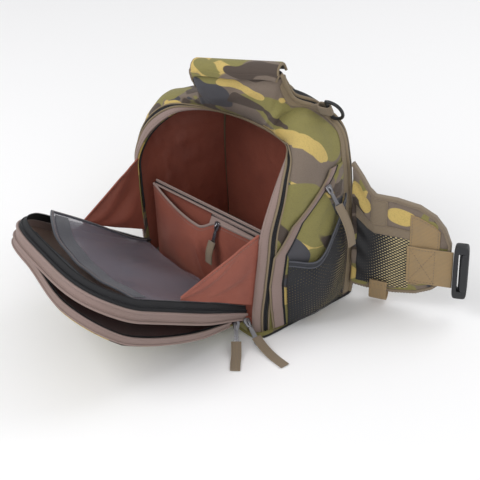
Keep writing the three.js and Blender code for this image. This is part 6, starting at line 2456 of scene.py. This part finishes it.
@dataclass(frozen=True)
class Studio:
    """Pale floor, soft lights and the camera at the photograph's angle."""

    target: tuple[float, float, float] = (0.01686, -0.02084, 0.06542)
    azimuth: float = 50.0
    elevation: float = 33.0
    distance: float = 1.4
    lens: float = 84.0

    def floor(self) -> None:
        """A wide plain floor."""
        mesh = bpy.data.meshes.new("floor")
        size = 6.0
        corners = [(-size, -size, 0), (size, -size, 0), (size, size, 0), (-size, size, 0)]
        mesh.from_pydata(corners, [], [(0, 1, 2, 3)])
        piece = bpy.data.objects.new("floor", mesh)
        bpy.context.scene.collection.objects.link(piece)
        graph = Graph("floor_white")
        graph.set(Base_Color=(0.93, 0.93, 0.94, 1.0), Roughness=0.9)
        mesh.materials.append(graph.material)

    def light(self, name: str, place: tuple[float, float, float], size: float, power: float) -> None:
        """A square soft light that faces the bag."""
        lamp = bpy.data.lights.new(name, "AREA")
        lamp.size, lamp.energy = size, power
        made = bpy.data.objects.new(name, lamp)
        made.location = place
        made.rotation_euler = (Vector(self.target) - Vector(place)).to_track_quat("-Z", "Y").to_euler()
        bpy.context.scene.collection.objects.link(made)

    def camera(self) -> None:
        """The camera on the photograph's line of sight."""
        a, e = math.radians(self.azimuth), math.radians(self.elevation)
        back = Vector((math.sin(a) * math.cos(e), -math.cos(a) * math.cos(e), math.sin(e)))
        data = bpy.data.cameras.new("camera")
        data.lens, data.sensor_width = self.lens, 36.0
        data.clip_start, data.clip_end = 0.05, 50.0
        made = bpy.data.objects.new("camera", data)
        made.location = Vector(self.target) + back * self.distance
        made.rotation_euler = (-back).to_track_quat("-Z", "Y").to_euler()
        bpy.context.scene.collection.objects.link(made)
        bpy.context.scene.camera = made

    def build(self) -> None:
        """Sets up floor, lights, surroundings and camera."""
        self.floor()
        self.light("key", (-0.5, -1.5, 1.7), 1.2, 22.0)
        self.light("fill", (1.7, -0.9, 1.0), 1.6, 9.0)
        self.light("rim", (0.3, 1.4, 1.6), 1.2, 10.0)
        world = bpy.data.worlds.new("surround")
        world.use_nodes = True
        ground = world.node_tree.nodes["Background"]
        ground.inputs["Color"].default_value = (1.0, 1.0, 1.0, 1.0)
        ground.inputs["Strength"].default_value = 0.6
        bpy.context.scene.world = world
        bpy.context.scene.view_settings.view_transform = "Standard"
        self.camera()


PRINT_PATCHES = (
    Patch((38, 11, 227), (0.92, 0.34, -0.21), 87, 65, Tone.TAUPE),
    Patch((34, 11, 241), (0.92, 0.38, -0.13), 44, 17, Tone.OLIVE),
    Patch((80, 34, 227), (0.77, 0.45, -0.46), 41, 27, Tone.OLIVE),
    Patch((49, 23, 225), (0.95, 0.25, -0.17), 38, 11, Tone.OLIVE),
    Patch((-45, -10, 240), (0.81, 0.45, -0.38), 28, 20, Tone.CHARCOAL),
    Patch((8, 6, 286), (0.93, 0.34, 0.15), 40, 11, Tone.DARK_BROWN),
    Patch((-43, -13, 274), (0.94, 0.35, -0.00), 23, 13, Tone.OLIVE),
    Patch((-30, -8, 269), (0.88, 0.36, 0.31), 15, 4, Tone.CHARCOAL),
    Patch((-24, -7, 260), (0.93, 0.36, 0.04), 30, 8, Tone.YELLOW),
    Patch((17, 12, 258), (0.89, 0.44, -0.09), 31, 7, Tone.YELLOW),
    Patch((-3, 2, 239), (0.97, 0.23, -0.01), 29, 9, Tone.DARK_BROWN),
    Patch((35, 15, 231), (0.85, 0.35, -0.39), 23, 5, Tone.DARK_BROWN),
    Patch((115, 6, 191), (0.23, 0.80, -0.55), 40, 20, Tone.TAUPE),
    Patch((82, -5, 203), (0.91, -0.40, 0.09), 58, 9, Tone.TAUPE),
    Patch((46, 19, 211), (0.96, -0.19, 0.18), 46, 10, Tone.YELLOW),
    Patch((101, 20, 214), (0.56, 0.71, -0.43), 27, 8, Tone.YELLOW),
    Patch((82, 14, 215), (0.85, 0.3, -0.25), 34, 9, Tone.YELLOW),
    Patch((-111, -18, 201), (0.93, 0.36, -0.11), 24, 10, Tone.YELLOW),
    Patch((-120, -47, 177), (0.91, -0.41, -0.07), 22, 16, Tone.TAUPE),
    Patch((-125, -71, 140), (0.04, -0.24, -0.97), 20, 18, Tone.YELLOW),
    Patch((-130, -1, 212), (0.53, 0.82, 0.19), 18, 14, Tone.OLIVE),
    Patch((-142, -28, 193), (0.83, 0.12, 0.54), 16, 9, Tone.DARK_BROWN),
    Patch((108, -34, 187), (0.82, -0.16, -0.55), 20, 10, Tone.CHARCOAL),
    Patch((122, -47, 156), (0.17, -0.27, -0.95), 34, 12, Tone.DARK_BROWN),
    Patch((121, -63, 122), (0.02, -0.1, -0.99), 16, 10, Tone.OLIVE),
    Patch((120, -67, 96), (-0.08, -0.15, -0.98), 10, 10, Tone.YELLOW),
    Patch((119, -68, 76), (-0.08, -0.1, -0.98), 10, 10, Tone.DARK_BROWN),
    Patch((118, -68, 58), (-0.08, -0.04, -1.0), 9, 10, Tone.YELLOW),
    Patch((116, -68, 34), (-0.1, -0.04, -0.99), 16, 10, Tone.OLIVE),
    Patch((127, -8, 150), (0.0, 0.7, -0.7), 52, 30, Tone.OLIVE),
    Patch((129, -31, 112), (0.04, 0.58, -0.81), 22, 14, Tone.CHARCOAL),
    Patch((129, 12, 114), (-0.02, 0.56, -0.83), 32, 13, Tone.DARK_BROWN),
    Patch((131, 4, 116), (-0.08, 0.94, -0.32), 20, 6, Tone.YELLOW),
    Patch((165, 93, 135), (0.78, 0.46, -0.42), 33, 45, Tone.TAUPE),
    Patch((136, 74, 135), (0.67, 0.37, -0.65), 13, 8, Tone.YELLOW),
    Patch((177, 100, 127), (0.81, 0.50, -0.31), 16, 11, Tone.YELLOW),
    Patch((153, 84, 130), (0.85, 0.50, -0.18), 13, 7, Tone.TAUPE),
    Patch((207, 119, 118), (0.61, 0.41, -0.68), 11, 10, Tone.OLIVE),
    Patch((125, 69, 153), (0.33, 0.16, -0.93), 15, 7, Tone.YELLOW),
    Patch((164, 90, 43), (0.84, 0.51, -0.20), 48, 9, Tone.OLIVE),
    Patch((128, 22, 36), (0, 0.8, 0.6), 46, 34, Tone.CREAM),
)


def main() -> None:
    """Builds the bag's sub-assemblies in order."""
    bench = Bench(Finishes(PRINT_PATCHES))
    body, flap = BodyForm(), FlapForm()
    divider = Divider(body, bench)
    pockets = SidePockets(body, bench)
    assemblies = (
        Body(body, bench),
        Flap(flap, body, bench),
        Gussets(body, flap, bench),
        divider,
        pockets,
        Wings(body, bench),
        Strap(body, bench),
        Ring(body, bench),
        Pulls(body, flap, divider, pockets, bench),
    )
    for assembly in assemblies:
        assembly.build()
        log.info("%s done, %d pieces so far", type(assembly).__name__, bench.count)
    Studio().build()
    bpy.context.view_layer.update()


if __name__ == "__main__":
    main()
